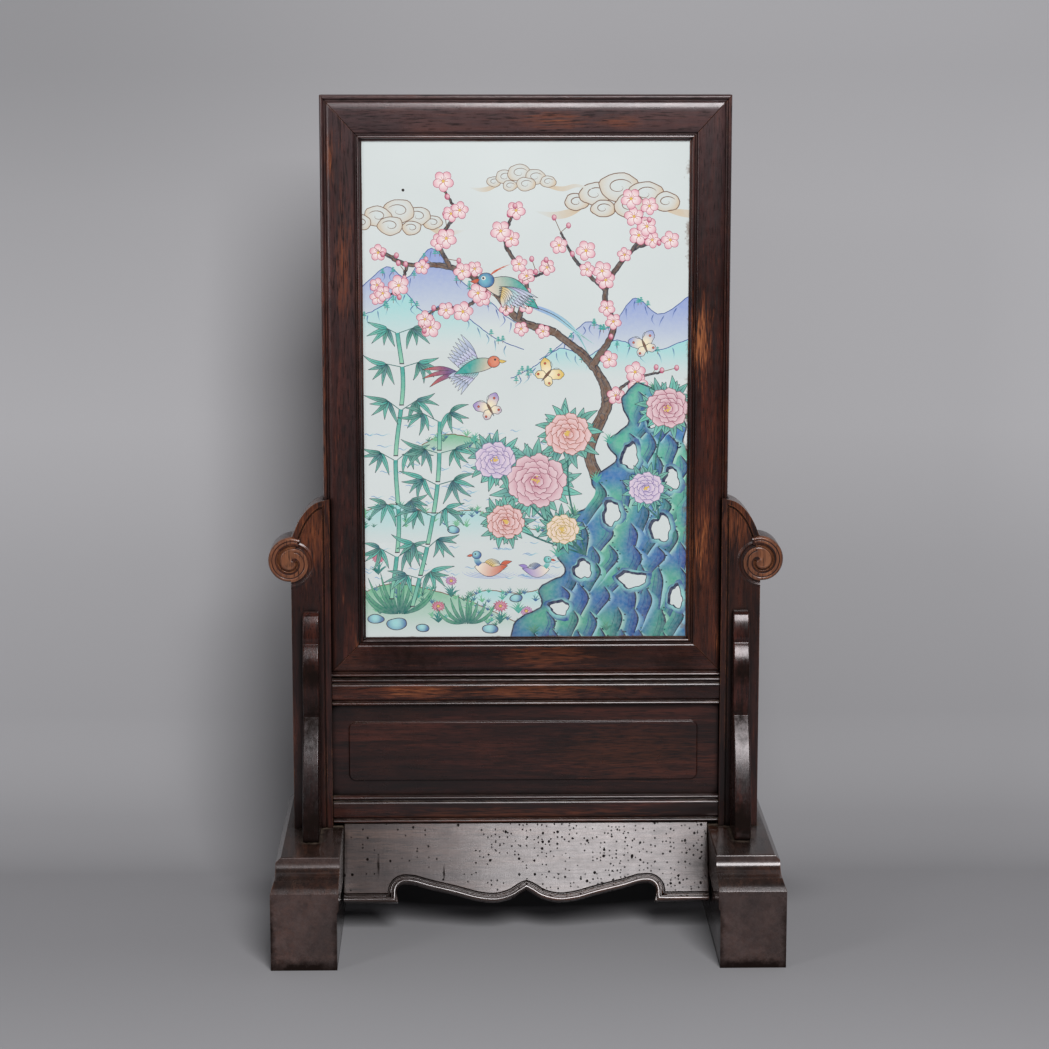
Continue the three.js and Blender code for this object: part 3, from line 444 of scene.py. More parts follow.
def finished_copy(node, body, material, soften):
    """A node's mesh, welded and cleared of needless edges, with soft arrises."""
    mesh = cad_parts[node].data.copy()
    work = opened(mesh, 0.01 * MM)
    bmesh.ops.dissolve_limit(work, angle_limit=FLAT_ANGLE, verts=work.verts, edges=work.edges)
    for edge in work.edges:
        edge.smooth = len(edge.link_faces) == 2 and edge.calc_face_angle(0) < SOFT_ANGLE
    for face in work.faces:
        face.smooth = True
    work.to_mesh(mesh)
    work.free()
    mesh.materials.clear()
    mesh.materials.append(material)
    piece = add_object(f"{node}_finished", mesh)
    bevel = piece.modifiers.new("soft_arris", "BEVEL")
    bevel.width = soften * MM
    bevel.segments = 3
    bevel.limit_method = "ANGLE"
    bevel.angle_limit = SOFT_ANGLE
    bevel.harden_normals = True
    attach(piece, body)
    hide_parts(node)


def dress_wood():
    """Each wooden node in wood that runs its own way, with its own wear."""
    seeds = iter(range(1, 40))

    def dress(nodes, body, slot, tones, grain, soften, **wear):
        looks = []
        for node in nodes:
            patches = RUBBED_PLACES.get(node, ())
            looks.append(wood(f"{node}_wood", grain, tones, seed=next(seeds), patches=patches, **wear))
            finished_copy(node, body, looks[-1], soften)
        return looks

    screen = ("screen", "screen_wood", SCREEN_TONES)
    stand = ("stand", "stand_wood", STAND_TONES)
    board = ("screen", "board_wood", BOARD_TONES)
    # the stiles and the top rail carry a violet veil of painted sheen on their upper parts
    for hand, veil in (("left", (280, 640)), ("right", (500, 640))):
        dress([f"frame_stile_{hand}"], *screen, "z", 0.15, polish=0.22, warm=0.35, rubbed=1.0, bloom=veil)
    dress(["frame_rail_top"], *screen, "x", 0.15, polish=0.22, warm=0.2, rubbed=0.5, bloom=(460, 600))
    dress(["frame_rail_bottom"], *screen, "x", 0.15, polish=0.2, warm=0.25, rubbed=0.5,
          stains=RAIL_STAINS + SEAM_PAINTED_SHADOW)
    posts = dress(["post_left", "post_right"], *stand, "z", 0.8, polish=0.24, warm=0.25, rubbed=0.7)
    dress(["rail_upper"], *stand, "x", 0.5, polish=0.2, warm=0.3, dust=0.4, stains=SEAM_PAINTED_SHADOW)
    dress(["rail_lower", "waist_panel"], *stand, "x", 0.6, polish=0.24, warm=0.12, dust=0.5)
    spandrels = [f"spandrel_{end}_{hand}" for end in ("front", "rear") for hand in ("left", "right")]
    dress(spandrels, *stand, "z", 1.2, polish=0.15, coat=0.0, warm=0.1, dust=0.3, stains=SPANDREL_PAINTED_SHADE)
    dress(["foot_left", "foot_right"], "stand", "stand_wood", FOOT_TONES, "y", 2.6,
          polish=0.16, coat=0.3, rubbed=0.7, dust=1.0, end_grain=0.75, stains=FOOT_FRONT_DARKENING)
    dress(["apron_front", "apron_rear"], "stand", "apron_wood", APRON_TONES, "x", 1.1,
          polish=0.2, coat=0.19, rubbed=0.3, dust=0.2, stains=APRON_STAINS, sheen=APRON_SHEEN, holes=True)
    dress(["back_board"], *board, "z", 0.5, polish=0.55, warm=0.2)
    dress(["batten_lower", "batten_upper"], *board, "x", 0.8, polish=0.5)
    scroll_look = wood("scroll_wood", "z", SCROLL_TONES, warm=0.4, rubbed=0.9, grime_and_shade=0.45, seed=31)
    for side, post_look in zip((-1, 1), posts):
        carve_scroll(side, post_look, scroll_look)
    bead_look = wood("apron_bead_wood", "x", APRON_TONES, polish=0.16, coat=0.6, rubbed=0.6)
    for way in (-1, 1):
        run_apron_bead(way, bead_look)


def grid_faces(rows, columns):
    """The quads of a grid of points that are counted row by row."""
    i = (np.arange(rows - 1)[:, None] * columns + np.arange(columns - 1)).reshape(-1)
    return np.stack([i, i + 1, i + columns + 1, i + columns], -1)


def mesh_object(name, points, faces, look):
    """An object of those points, in metres, and faces, in one material."""
    mesh = bpy.data.meshes.new(name)
    mesh.from_pydata(points.tolist(), [], faces.tolist())
    mesh.materials.append(look)
    return add_object(name, mesh)


def surface(name, points, look, body, outwards):
    """A grid of points, in millimetres, as a smooth sheet that faces `outwards`."""
    faces = grid_faces(*points.shape[:2])
    flat = points.reshape(-1, 3) * MM
    across = flat[faces[:, 2]] - flat[faces[:, 0]]
    down = flat[faces[:, 3]] - flat[faces[:, 1]]
    if np.cross(across, down).sum(axis=0) @ np.array(outwards) < 0:
        faces = faces[:, ::-1]
    piece = mesh_object(name, flat, faces, look)
    piece.data.shade_smooth()
    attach(piece, body)


# The scroll's eye and its volute, as in the CAD, in millimetres and turns
SCROLL_EYE = (180.3, -14.0, 290.9)
SCROLL_RADIUS = 19.4
SCROLL_TURNS = 1.95
SCROLL_TIGHTENING = 0.8
SCROLL_PROUD = 1.6
SCROLL_ROUND = 2.6


def bell(distance, width):
    """Bell curve: e to minus the square of the distance over the width."""
    return np.exp(-((distance / width) ** 2))


def carve_scroll(side, post_look, scroll_look):
    """The carved face of a scroll: a height over turns and radius about its eye.

    Inside the rim run a fillet and a fine line, and outside the inner winding a
    deep groove; all are bell curves of the distance from that edge. Where the
    scroll meets the post the groove goes on in the post's face, with a low roll
    beside it.
    """

    def edge(turn):
        """Radius of the spiral: a power of the share of its turns that is left."""
        return SCROLL_RADIUS * np.clip(1 - turn / SCROLL_TURNS, 0, 1) ** SCROLL_TIGHTENING

    def carving(inside):
        """Height so far inside an edge: level, with a low bell for the fillet."""
        return 0.1 + SCROLL_PROUD + 0.2 * bell(inside - 1.3, 0.8)

    hand = "right" if side > 0 else "left"
    for part, first, last in (("outer", -0.05, 0.5), ("inner", 0.5, 0.95)):
        turn = np.linspace(first, last, 80)[:, None]
        rim, winding = edge(turn), edge(turn + 1)
        r = rim * np.linspace(0, 1, 64) ** 0.9
        band = carving(rim - r) - 0.22 * bell(rim - r - 2.9, 0.5)
        height = np.where(r < winding, carving(winding - r), band) + 0.5 * bell(r, 1.8)
        height -= np.clip(winding / 3, 0, 1) * 1.8 * bell(r - winding - 1.4, 1.25)
        if part == "outer":
            rounding = np.clip(SCROLL_ROUND - rim + r, 0, SCROLL_ROUND)
            height -= SCROLL_ROUND - np.sqrt(SCROLL_ROUND**2 - rounding**2)
        sheets = [(f"scroll_carving_{part}_{hand}", r, height, scroll_look)]
        if part == "inner":
            outside = np.linspace(-0.6, 5.2, 24)
            wall = carving(-outside) * np.clip(0.3 - outside / 0.8, 0, 1)
            roll = 0.1 - 0.75 * bell(outside - 1.3, 0.9) + 0.6 * bell(outside - 3.5, 1.0)
            roll[-1] = -0.2
            height = np.broadcast_to(np.maximum(wall, roll), (80, 24))
            sheets.append((f"scroll_groove_{hand}", rim + outside, height, post_look))
        for name, r, height, look in sheets:
            a = 2 * pi * turn
            x = side * (SCROLL_EYE[0] + r * np.sin(a))
            z = SCROLL_EYE[2] + r * np.cos(a)
            points = np.stack([x, SCROLL_EYE[1] - height, z], -1)
            surface(name, points, look, "stand", (0, -1, 0))


# The front apron's slope and arch, as in the CAD, in millimetres: half of its
# lower edge, from the foot to the middle, as (x, down the face)
APRON_SLANT = radians(25)
APRON_HANGS_AT = (-12.0, 82.7)
APRON_END = [(141.6, 60.6), (125, 60.6), (110, 60.6), (101.1, 60.6), (101.1, 57), (101.1, 53)]
APRON_CORNER = (94.1, 53.0, 7.0)
APRON_ARCH = [(94.1, 46), (87.5, 46.6), (75.4, 50.2), (55.3, 55), (40.2, 59.2), (28, 60.9), (20, 60.3),
              (11, 57.6), (4.5, 53.6), (0, 51)]
# Section of the bead: distance in from the edge, height above the face
BEAD_SECTION = [(0, -0.5), (0.1, 0.5), (0.5, 1.1), (1, 1.3), (2, 1.3), (2.5, 1.1), (2.85, 0.5),
                (2.95, -0.2), (3.25, -0.35), (3.5, -0.2), (3.8, 0.2), (4.2, 0.3), (4.6, 0.15), (4.8, -0.4)]


def run_apron_bead(way, look):
    """The bead and fillet along an apron's lower edge: a section carried along it.

    Each point of the edge gets a mitre direction, the sum of its two segments'
    normals over one plus their product, and the section is laid out along it.
    """
    u, v, radius = APRON_CORNER
    a = np.linspace(0, pi / 2, 9)[1:-1]
    corner = np.stack([u + radius * np.cos(a), v - radius * np.sin(a)], -1)
    half = np.vstack([APRON_END, corner, through(APRON_ARCH, 60)])
    edge = np.vstack([half, (half * (-1, 1))[-2::-1]]) * (1, -1)
    along = np.diff(edge, axis=0)
    along /= np.linalg.norm(along, axis=1, keepdims=True)
    across = np.stack([along[:, 1], -along[:, 0]], -1)
    before = np.vstack([across[:1], across])
    after = np.vstack([across, across[-1:]])
    mitre = (before + after) / (1 + (before * after).sum(axis=1, keepdims=True))
    section = np.array(BEAD_SECTION)
    flat = edge[None] + section[:, :1, None] * mitre[None]
    height = np.broadcast_to(section[:, 1:], flat.shape[:2])
    c, s = cos(APRON_SLANT), sin(APRON_SLANT)
    x = flat[..., 0]
    y = APRON_HANGS_AT[0] - height * c + flat[..., 1] * s
    z = APRON_HANGS_AT[1] + height * s + flat[..., 1] * c
    points = np.stack([-way * x, -way * y, z], -1)
    end = "front" if way < 0 else "rear"
    surface(f"apron_bead_{end}", points, look, "stand", (0, way * c, s))


def dress_plaque():
    """The glazed plaque, and each part of its design with random draws of its own."""
    finished_copy("porcelain_plaque", "screen", porcelain_glaze(), 0.8)
    for paint, name, seed in (
        (paint_distance, "hills_and_clouds", 3),
        (paint_banks, "banks", 5),
        (paint_bamboo, "bamboo", 41),
        (paint_tree, "tree", 21),
        (paint_rock, "rock", 17),
        (paint_peonies, "peonies", 31),
        (paint_birds, "birds", 0),
    ):
        art = Enamels()
        paint(art, np.random.default_rng(seed))
        art.finish(f"enamel_{name}")


# Enamel design

ENAMEL_STEP = 0.001 * MM  # one coat of enamel over another
GLAZE_GAP = 0.01 * MM  # the coats begin this far off the glaze
BEHIND_LIP = 4.0  # millimetres that the design runs on behind the frame's lip
COAT_CELL = 0.5  # millimetres; the coats already laid are counted in cells this wide
COAT_BORDER = 6  # millimetres counted outside the visible field
COATS = np.zeros((530, 810), int)  # cells across and up
GLAZE = rgb(216, 223, 222)
INK = rgb(48, 44, 56)
ROCK_INK = rgb(26, 36, 66)
LEAF_INK = rgb(18, 64, 70)
BROWN = rgb(122, 86, 62)
BEIGE = rgb(214, 190, 158)
LILAC_BLUE = rgb(146, 164, 218)
PALE_TURQUOISE = rgb(164, 220, 220)
TURQUOISE = rgb(58, 166, 156)
DEEP_GREEN = rgb(24, 102, 98)
SEA_GREEN = rgb(20, 84, 110)
LEAF_GREEN = rgb(112, 186, 142)
ROCK_BLUE = rgb(44, 80, 152)
IRON_RED = rgb(204, 88, 54)
ROSE = rgb(180, 52, 100)
PALE_ROSE = rgb(240, 196, 204)
LAVENDER = rgb(156, 134, 202)
YELLOW = rgb(228, 190, 84)


def through(points, count):
    """Catmull-Rom curve through the points, at `count` even steps."""
    p = np.asarray(points, float)
    p = np.vstack([2 * p[0] - p[1], p, 2 * p[-1] - p[-2]])
    t = np.linspace(0, len(p) - 3, count)
    k = np.minimum(t.astype(int), len(p) - 4)
    f = (t - k)[:, None]
    a, b, c, d = p[k], p[k + 1], p[k + 2], p[k + 3]
    return 0.5 * (2 * b + (c - a) * f + (2 * a - 5 * b + 4 * c - d) * f**2 + (3 * b - a - 3 * c + d) * f**3)


def turned(u, v, angle):
    """The point turned anticlockwise about the origin."""
    return cos(angle) * u - sin(angle) * v, sin(angle) * u + cos(angle) * v


def normals(path):
    """The direction across a path at each of its points."""
    along = np.gradient(path, axis=0)
    along /= np.linalg.norm(along, axis=1, keepdims=True) + 1e-9
    return np.stack([-along[:, 1], along[:, 0]], -1)


def polar(centre, reach, a, flat=1.0):
    """The point at that reach and angle about a centre, on a flattened circle."""
    return centre[0] + reach * cos(a), centre[1] + flat * reach * sin(a)


def pick(rng, tones):
    """One of the tones, by chance."""
    return tones[rng.integers(0, len(tones))]


def graded(first, last, place, power=1.0):
    """Colour that turns from `first` to `last` with a power of a place from 0 to 1."""
    a, b = np.array(first), np.array(last)
    return lambda u, v: a + (b - a) * (np.clip(place(u, v), 0, 1) ** power)[..., None]


def fade(first, last, start, end):
    """Colour that runs evenly from `first` at one point to `last` at another."""
    axis = np.subtract(end, start)
    run = axis / (axis @ axis)
    return graded(first, last, lambda u, v: (u - start[0]) * run[0] + (v - start[1]) * run[1])


def halo(inner, outer, centre, reach, power=1.5):
    """Colour that turns from `inner` to `outer` with a power of the distance."""
    ru, rv = np.broadcast_to(reach, 2)
    return graded(inner, outer, lambda u, v: np.hypot((u - centre[0]) / ru, (v - centre[1]) / rv), power)


def between(paint, start, end):
    """A pair of colours as a fade between two points, and any other paint as it is."""
    return fade(*paint, start, end) if np.ndim(paint) == 2 else paint


def ragged(rng, amount):
    """Rim factors 1 plus a few cosines with phases of their own."""
    phases = rng.uniform(0, 6.28, 4)
    waves = ((2, 0.5), (3, 1.0), (5, 0.7), (8, 0.45))
    return lambda a: 1 + amount * sum(w * np.cos(k * a + f) for (k, w), f in zip(waves, phases))


def cornered(rng, corners, amount):
    """Rim factors that run straight between so many corners of uneven reach."""
    at = (np.arange(corners) + rng.uniform(-0.25, 0.25, corners)) * 2 * pi / corners
    reach = 1 + rng.uniform(-amount, amount, corners)
    return lambda a: np.interp(a, at, reach, period=2 * pi)


def scalloped(lobes, depth, phase=0.0):
    """Rim factors with so many round lobes: 1 less a rectified cosine."""
    return lambda a: 1 - depth * (1 - np.abs(np.cos(lobes * a / 2 + phase)))


def refined(a, steps):
    """The grid with so many even steps across each of its cells, blended linearly."""
    for _ in range(2):
        at = np.linspace(0, len(a) - 1, steps * (len(a) - 1) + 1)
        k = np.minimum(at.astype(int), len(a) - 2)
        f = (at - k)[:, None]
        a = (a[k] * (1 - f) + a[k + 1] * f).T
    return a


def next_coat(u, v):
    """One coat more than the thickest enamel that already lies where this grid goes."""
    longest = max(np.abs(np.diff(a, axis=k)).max() for a in (u, v) for k in (0, 1))
    steps = int(longest / COAT_CELL) + 1
    i, j = (
        np.clip((refined(a, steps) + COAT_BORDER) / COAT_CELL, 1, size - 2).astype(int)
        for a, size in zip((u, v), COATS.shape)
    )
    coat = 1 + max(COATS[i + a, j + b].max() for a in (-1, 0, 1) for b in (-1, 0, 1))
    COATS[i, j] = coat
    return coat


class Enamels:
    """Flat shapes of enamel on the glaze, in millimetres from the visible field's
    lower left corner. Each is a small grid of coloured points, one coat above
    those that it covers. Paint is a colour, or a function of the place; a line
    or a leaf also takes a pair of colours, for its two ends. An outline or a
    vein is given as its width and colour.
    """

    def __init__(self):
        self.points, self.colours, self.faces = [], [], []
        self.count = 0
        self.place()

    def place(self, at=(0, 0), turn=0.0, scale=1.0, flip=False):
        """Shapes added next are flipped, scaled, turned and moved to `at`."""
        self.at, self.turn, self.scale, self.flip = at, turn, scale, flip

    def grid(self, u, v, paint):
        colour = paint(u, v) if callable(paint) else np.broadcast_to(paint, (*u.shape, 3))
        u, v = turned(self.scale * (-u if self.flip else u), self.scale * v, self.turn)
        u, v = self.at[0] + u, self.at[1] + v
        x, z = (
            np.clip(least + a * MM, least - BEHIND_LIP * MM, most + BEHIND_LIP * MM)
            for a, least, most in ((u, *SIGHT[:2]), (v, *SIGHT[2:]))
        )
        y = np.full_like(x, PLAQUE_FACE - GLAZE_GAP - next_coat(u, v) * ENAMEL_STEP)
        faces = grid_faces(*x.shape)
        xs, zs = x.reshape(-1)[faces], z.reshape(-1)[faces]
        area = (xs * np.roll(zs, -1, 1) - zs * np.roll(xs, -1, 1)).sum()
        self.faces.append((faces if area > 0 else faces[:, ::-1]) + self.count)
        self.points.append(np.stack([x, y, z], -1).reshape(-1, 3))
        self.colours.append(colour.reshape(-1, 3))
        self.count += x.size

    def band(self, upper, lower, paint, rows):
        """Straight blend between two paths of as many points."""
        t = np.linspace(0, 1, rows)[:, None]
        self.grid(*(upper[:, k] * (1 - t) + lower[:, k] * t for k in (0, 1)), paint)

    def line(self, path, width, paint, taper=0.0):
        """Ribbon: the path set off to both sides along its normals.

        With a taper the half-width is the sine of the place along it to that power.
        """
        p = np.asarray(path, float)
        t = np.linspace(0, 1, len(p))
        half = width / 2 * (np.sin(pi * t**taper) if taper else np.ones_like(t))
        side = normals(p) * half[:, None]
        self.band(p + side, p - side, between(paint, p[0], p[-1]), 2)

    def disc(self, centre, size, paint, rim=None, turn=0.0, line=None, around=24, rings=4):
        """Polar grid out to an oval rim times its own factors."""
        a = np.linspace(0, 2 * pi, around + 1)
        factor = rim(a) if rim else 1.0
        edge = np.stack(turned(size[0] * factor * np.cos(a), size[1] * factor * np.sin(a), turn), -1)
        rho = np.linspace(0, 1, rings)[:, None]
        self.grid(centre[0] + rho * edge[:, 0], centre[1] + rho * edge[:, 1], paint)
        if line:
            self.line(edge + np.array(centre), *line)

    def dot(self, centre, size, tone, around=10, **more):
        """A small disc of one colour; its size is a radius or a pair of them."""
        self.disc(centre, np.broadcast_to(size, 2), tone, around=around, rings=2, **more)

    def leaf(self, base, tip, width, paint, bend=0.0, full=0.75, line=None, vein=None, steps=10):
        """Grid along a bent spine; half-width the sine of the place along it to a power."""
        base, tip = np.array(base, float), np.array(tip, float)
        t = np.linspace(0, 1, steps)[:, None]
        axis = tip - base
        side = np.array([-axis[1], axis[0]]) / np.hypot(*axis)
        spine = base + axis * t + side * bend * np.hypot(*axis) * np.sin(pi * t)
        half = side * width / 2 * np.sin(pi * t**full)
        self.band(spine + half, spine - half, between(paint, base, tip), 3)
        if line:
            self.line(np.vstack([spine + half, (spine - half)[::-1]]), *line)
        if vein:
            self.line(spine, *vein, 0.6)

    def tuft(self, at, size, blades, rng, paint):
        """Short brush strokes that fan up from one point."""
        for angle in np.linspace(-0.9, 0.9, blades) + rng.uniform(-0.12, 0.12, blades):
            length = size * rng.uniform(0.7, 1.1) * cos(0.6 * angle)
            tip = (at[0] + length * sin(angle), at[1] + length * cos(angle))
            self.leaf(at, tip, 0.09 * size + 0.3, paint, 0.12 * np.sign(angle), 0.6, steps=5)

    def land(self, rng, ridge, foot, tone, count, jitter, inset, line):
        """A ridge that fades down to its foot. Gives its uneven upper edge."""
        top = through(ridge, count) + rng.uniform(-jitter, jitter, (count, 2))
        bottom = np.stack([top[:, 0], np.full(count, foot)], -1)
        self.band(top, bottom, fade(tone, GLAZE, (0, top[:, 1].max() - inset[0]), (0, foot + inset[1])), 6)
        self.line(top, *line)
        return top

    def finish(self, name):
        """All the shapes as one mesh, welded, with their colours as its tint."""
        piece = mesh_object(name, np.vstack(self.points), np.vstack(self.faces), enamel_colours())
        mesh = piece.data
        tint = mesh.color_attributes.new("tint", "FLOAT_COLOR", "POINT")
        colours = np.vstack(self.colours)
        tint.data.foreach_set("color", np.hstack([colours, np.ones((len(colours), 1))]).reshape(-1))
        welded = opened(mesh, 0.0005 * MM)
        welded.to_mesh(mesh)
        welded.free()
        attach(piece, "screen")


def paint_distance(art, rng):
    """Far hills that fade downwards, and curling clouds."""
    ridges = (
        (236, LILAC_BLUE,
         [(-4, 268), (18, 286), (34, 278), (52, 300), (74, 276), (98, 258), (112, 246), (132, 237)]),
        (222, PALE_TURQUOISE,
         [(-4, 248), (14, 256), (30, 268), (46, 252), (64, 258), (84, 244), (100, 232), (122, 223)]),
        (214, LILAC_BLUE,
         [(134, 215), (152, 228), (170, 244), (188, 240), (206, 262), (226, 250), (251, 266)]),
        (200, PALE_TURQUOISE,
         [(112, 201), (130, 210), (150, 224), (170, 218), (192, 230), (220, 222), (251, 232)]),
    )
    for foot, tone, ridge in ridges:
        top = art.land(rng, ridge, foot, tone, 50, 0.35, (6, 4), (0.6, ROCK_BLUE))
        for start in range(3, 47, 3):
            fold = top[start] + np.array([[0, -1.5], [rng.uniform(-3, 3), -6], [rng.uniform(-5, 5), -11]])
            art.line(through(fold, 6), 0.9, (ROCK_BLUE, tone), 0.5)
        for k in rng.integers(2, 48, 12):
            pine = top[k] + (0, rng.uniform(-7, 0))
            art.line([pine, pine + (0, 5)], 0.4, BROWN)
            for height in (2.2, 3.6, 5.0):
                wide = 3.4 - 0.45 * height
                art.leaf(pine + (-wide, height), pine + (wide, height), 1.1, TURQUOISE, 0.1, 1.0, steps=6)
    curls = ((-34, -3, 9), (-20, 3, 12), (-2, 8, 15), (18, 3, 13), (34, -3, 10), (6, -6, 12), (-14, -8, 9))
    for at, scale, flip in (((196, 338), 1.0, False), ((26, 322), 0.8, True), ((120, 352), 0.6, False)):
        art.place(at, 0.0, scale, flip)
        for tail in ([(30, -8), (52, -12), (70, -8), (92, -13)], [(-30, -8), (-48, -13), (-66, -10)]):
            art.line(through(tail, 24), 6, (BEIGE, GLAZE), 0.7)
        for u, v, r in curls:
            shade = halo(GLAZE, BEIGE, (u - 1, v + 2), r * 1.15, 2.2)
            art.disc((u, v), (r, 0.72 * r), shade, ragged(rng, 0.04), line=(0.7, BROWN))
            a = np.linspace(0.3, 7.2, 22)
            r = r * (0.72 - 0.085 * a)
            art.line(np.stack([u + r * np.cos(a), v + 0.66 * r * np.sin(a)], -1), 0.7, BROWN, 0.5)


def paint_banks(art, rng):
    """Grassy banks with asters and pebbles, and wavelets on the water between."""
    for _ in range(120):
        at = np.array([rng.uniform(-2, 150), rng.uniform(46, 166)])
        u = np.linspace(0, rng.uniform(7, 15), 12)
        v = 0.7 * np.sin(np.linspace(0, 9.4, 12))
        art.line(at + np.stack([u, v], -1), 0.6, (rgb(104, 140, 200), PALE_TURQUOISE), 0.6)
    banks = (
        ([(44, 150), (62, 158), (84, 155), (104, 148), (118, 142)], 138, LEAF_GREEN),
        ([(-4, 98), (24, 104), (52, 97), (84, 99), (112, 88), (140, 82)], 74, PALE_TURQUOISE),
        ([(70, 26), (92, 36), (118, 34), (146, 38), (166, 30)], 18, PALE_TURQUOISE),
        ([(-4, 34), (20, 42), (46, 38), (74, 30), (98, 20), (122, 8)], 0, LEAF_GREEN),
    )
    for ridge, foot, tone in banks:
        top = art.land(rng, ridge, foot, tone, 40, 0.3, (0, 2), (0.7, BROWN))
        for _ in range(len(ridge) * 8):
            k = rng.integers(1, 39)
            at = top[k] - (0, 0.6 * (top[k, 1] - foot) * rng.uniform(0, 1) ** 1.5)
            blade = pick(rng, (TURQUOISE, DEEP_GREEN, LEAF_GREEN, ROCK_BLUE))
            art.tuft(at, rng.uniform(4.0, 7.5), 5, rng, fade(blade, LEAF_GREEN, at, at + (0, 7)))
    for u, v, r in ((24, 10, 8), (44, 7, 5), (8, 14, 6), (116, 30, 5), (142, 28, 7), (96, 6, 6), (68, 84, 5)):
        shade = halo(PALE_TURQUOISE, ROCK_BLUE, (u - 1, v + 1), r, 2)
        art.disc((u, v), (r, 0.6 * r), shade, cornered(rng, 7, 0.12), line=(0.6, INK))
    for u, v, size in ((10, 62, 5), (66, 44, 4.5), (104, 24, 6), (124, 20, 5), (146, 88, 5), (56, 24, 5.5)):
        petals = pick(rng, (IRON_RED, LAVENDER, ROSE))
        art.line(through([(u, v), (u + 1, v - 6), (u, v - 13)], 6), 0.7, DEEP_GREEN)
        art.tuft((u, v - 13), 11, 9, rng, fade(DEEP_GREEN, TURQUOISE, (u, v - 13), (u, v)))
        for a in np.linspace(0, 5.84, 14):
            tip = polar((u, v), size, a, 0.8)
            art.leaf((u, v), tip, 1.8, (PALE_ROSE, petals), line=(0.25, ROSE), steps=5)
        art.dot((u, v), (1.3, 1.2), YELLOW, line=(0.4, BROWN))
    for u, v, count, reach in ((26, 18, 13, 44), (78, 10, 9, 30)):
        for a in np.linspace(-0.95, 0.9, count) + rng.uniform(-0.06, 0.06, count):
            long = reach * rng.uniform(0.7, 1.0)
            tip = (u + long * sin(a), v + long * cos(a) * 0.85)
            blade = fade(DEEP_GREEN, LEAF_GREEN, (u, v), tip)
            art.leaf((u + 4 * a, v), tip, 2.6, blade, -0.16 * a, 0.7, (0.35, DEEP_GREEN), steps=14)


def paint_rock(art, rng):
    """A pierced garden rock: slow waves of green and blue, cut by shaded folds."""
    left = [(208, 198), (197, 184), (202, 166), (186, 152), (193, 138), (174, 122), (182, 108), (160, 94),
            (168, 80), (148, 66), (154, 50), (134, 38), (136, 24), (116, 12), (112, -3)]
    left = through(left, 90) + rng.uniform(-0.5, 0.5, (90, 2))
    right = [(206, 199), (226, 190), (232, 178), (246, 166), (244, 150), (252, 132), (252, 60), (252, -3)]

    def rim(path, v):
        """How far across a rim lies at a height."""
        return np.interp(v, path[::-1, 1], path[::-1, 0])

    right = np.stack([rim(through(right, 90), left[:, 1]), left[:, 1]], -1)

    def body(u, v):
        wave = 0.5 + 0.5 * np.sin(0.085 * u + 0.055 * v + 1.8 * np.sin(0.07 * v - 0.045 * u))[..., None]
        colour = np.array(rgb(98, 184, 158)) * wave + np.array(rgb(66, 124, 184)) * (1 - wave)
        return colour * (1 - 0.3 * np.clip((150 - v) / 220, 0, 1))[..., None]

    def fold(path, far, tone, strength):
        """A band from `tone` at a fold's line to the body's own colour at the far edge."""
        t = strength * np.linspace(1, 0, 8)[:, None, None] ** 1.3
        art.band(path, far, lambda u, v: body(u, v) * (1 - t) + np.array(tone) * t, 8)

    art.band(left, right, body, 28)
    fold(left, left + (7, 0), rgb(34, 72, 132), 0.7)
    art.line(left, 1.1, ROCK_INK)
    art.line(right[:44], 1.1, ROCK_INK)
    for row, v in enumerate(np.arange(192, -6, -17)):
        for u in np.arange(rim(left, v) + (7, 15)[row % 2], rim(right, v) + 4, 17):
            start = np.array([u, v]) + rng.uniform(-3, 3, 2)
            drop, lean, bow = rng.uniform(24, 40), rng.uniform(-12, 4), rng.uniform(3, 8)
            bends = np.array([(0, 0), (bow, -0.3 * drop), (0.5 * (bow + lean), -0.65 * drop), (lean, -drop)])
            path = through(start + bends, 24)
            path[:, 0] = np.clip(path[:, 0], rim(left, path[:, 1]) + 0.5, 251)
            swell = np.stack([np.sin(pi * np.linspace(0, 1, 24)) ** 0.7, np.zeros(24)], -1)
            wide = rng.uniform(8, 12)
            deep = pick(rng, (rgb(30, 58, 132), rgb(22, 88, 104), rgb(40, 62, 140)))
            pale = pick(rng, (rgb(196, 234, 216), rgb(176, 222, 232)))
            fold(path, path + 0.55 * wide * swell, pale, 0.8)
            fold(path, path - wide * swell, deep, 0.95)
            art.line(path, 1.2, ROCK_INK, 0.55)
            for out in (0.32, 0.62):
                art.line(path[3:-4] - out * wide * swell[3:-4], 0.4, deep, 0.6)
            for _ in range(rng.integers(0, 9)):
                moss = path[rng.integers(0, 10)] + (rng.normal(1.0, 1.2), rng.normal(0, 1.0))
                art.dot(moss, (0.75, 0.65), pick(rng, (DEEP_GREEN, ROCK_INK)), 7)
    holes = ((204, 140, 6, 9), (190, 96, 6, 9), (228, 84, 7, 10), (168, 52, 6, 7), (206, 44, 10, 6),
             (236, 122, 5, 9), (222, 168, 4, 6), (150, 22, 7, 5), (240, 30, 5, 8))
    for u, v, ru, rv in holes:
        uneven = ragged(rng, 0.12)
        size = (ru + 4, rv + 4)
        art.disc((u, v), size, halo(rgb(150, 214, 206), rgb(40, 84, 146), (u, v), size, 5), uneven, rings=6)
        art.dot((u - 1, v + 1), (ru + 1, rv + 1), rgb(24, 36, 78), 24, rim=uneven)
        art.dot((u, v), (ru, rv), GLAZE, 24, rim=uneven, line=(0.6, ROCK_INK))
    tufts = ((118, 18), (148, 62), (160, 92), (178, 120), (188, 150), (222, 190), (242, 166), (130, 2),
             (186, 4))
    for u, v in tufts:
        shade = fade(pick(rng, (TURQUOISE, DEEP_GREEN)), LEAF_GREEN, (u, v), (u, v + 12))
        art.tuft((u, v), rng.uniform(8, 13), 11, rng, shade)


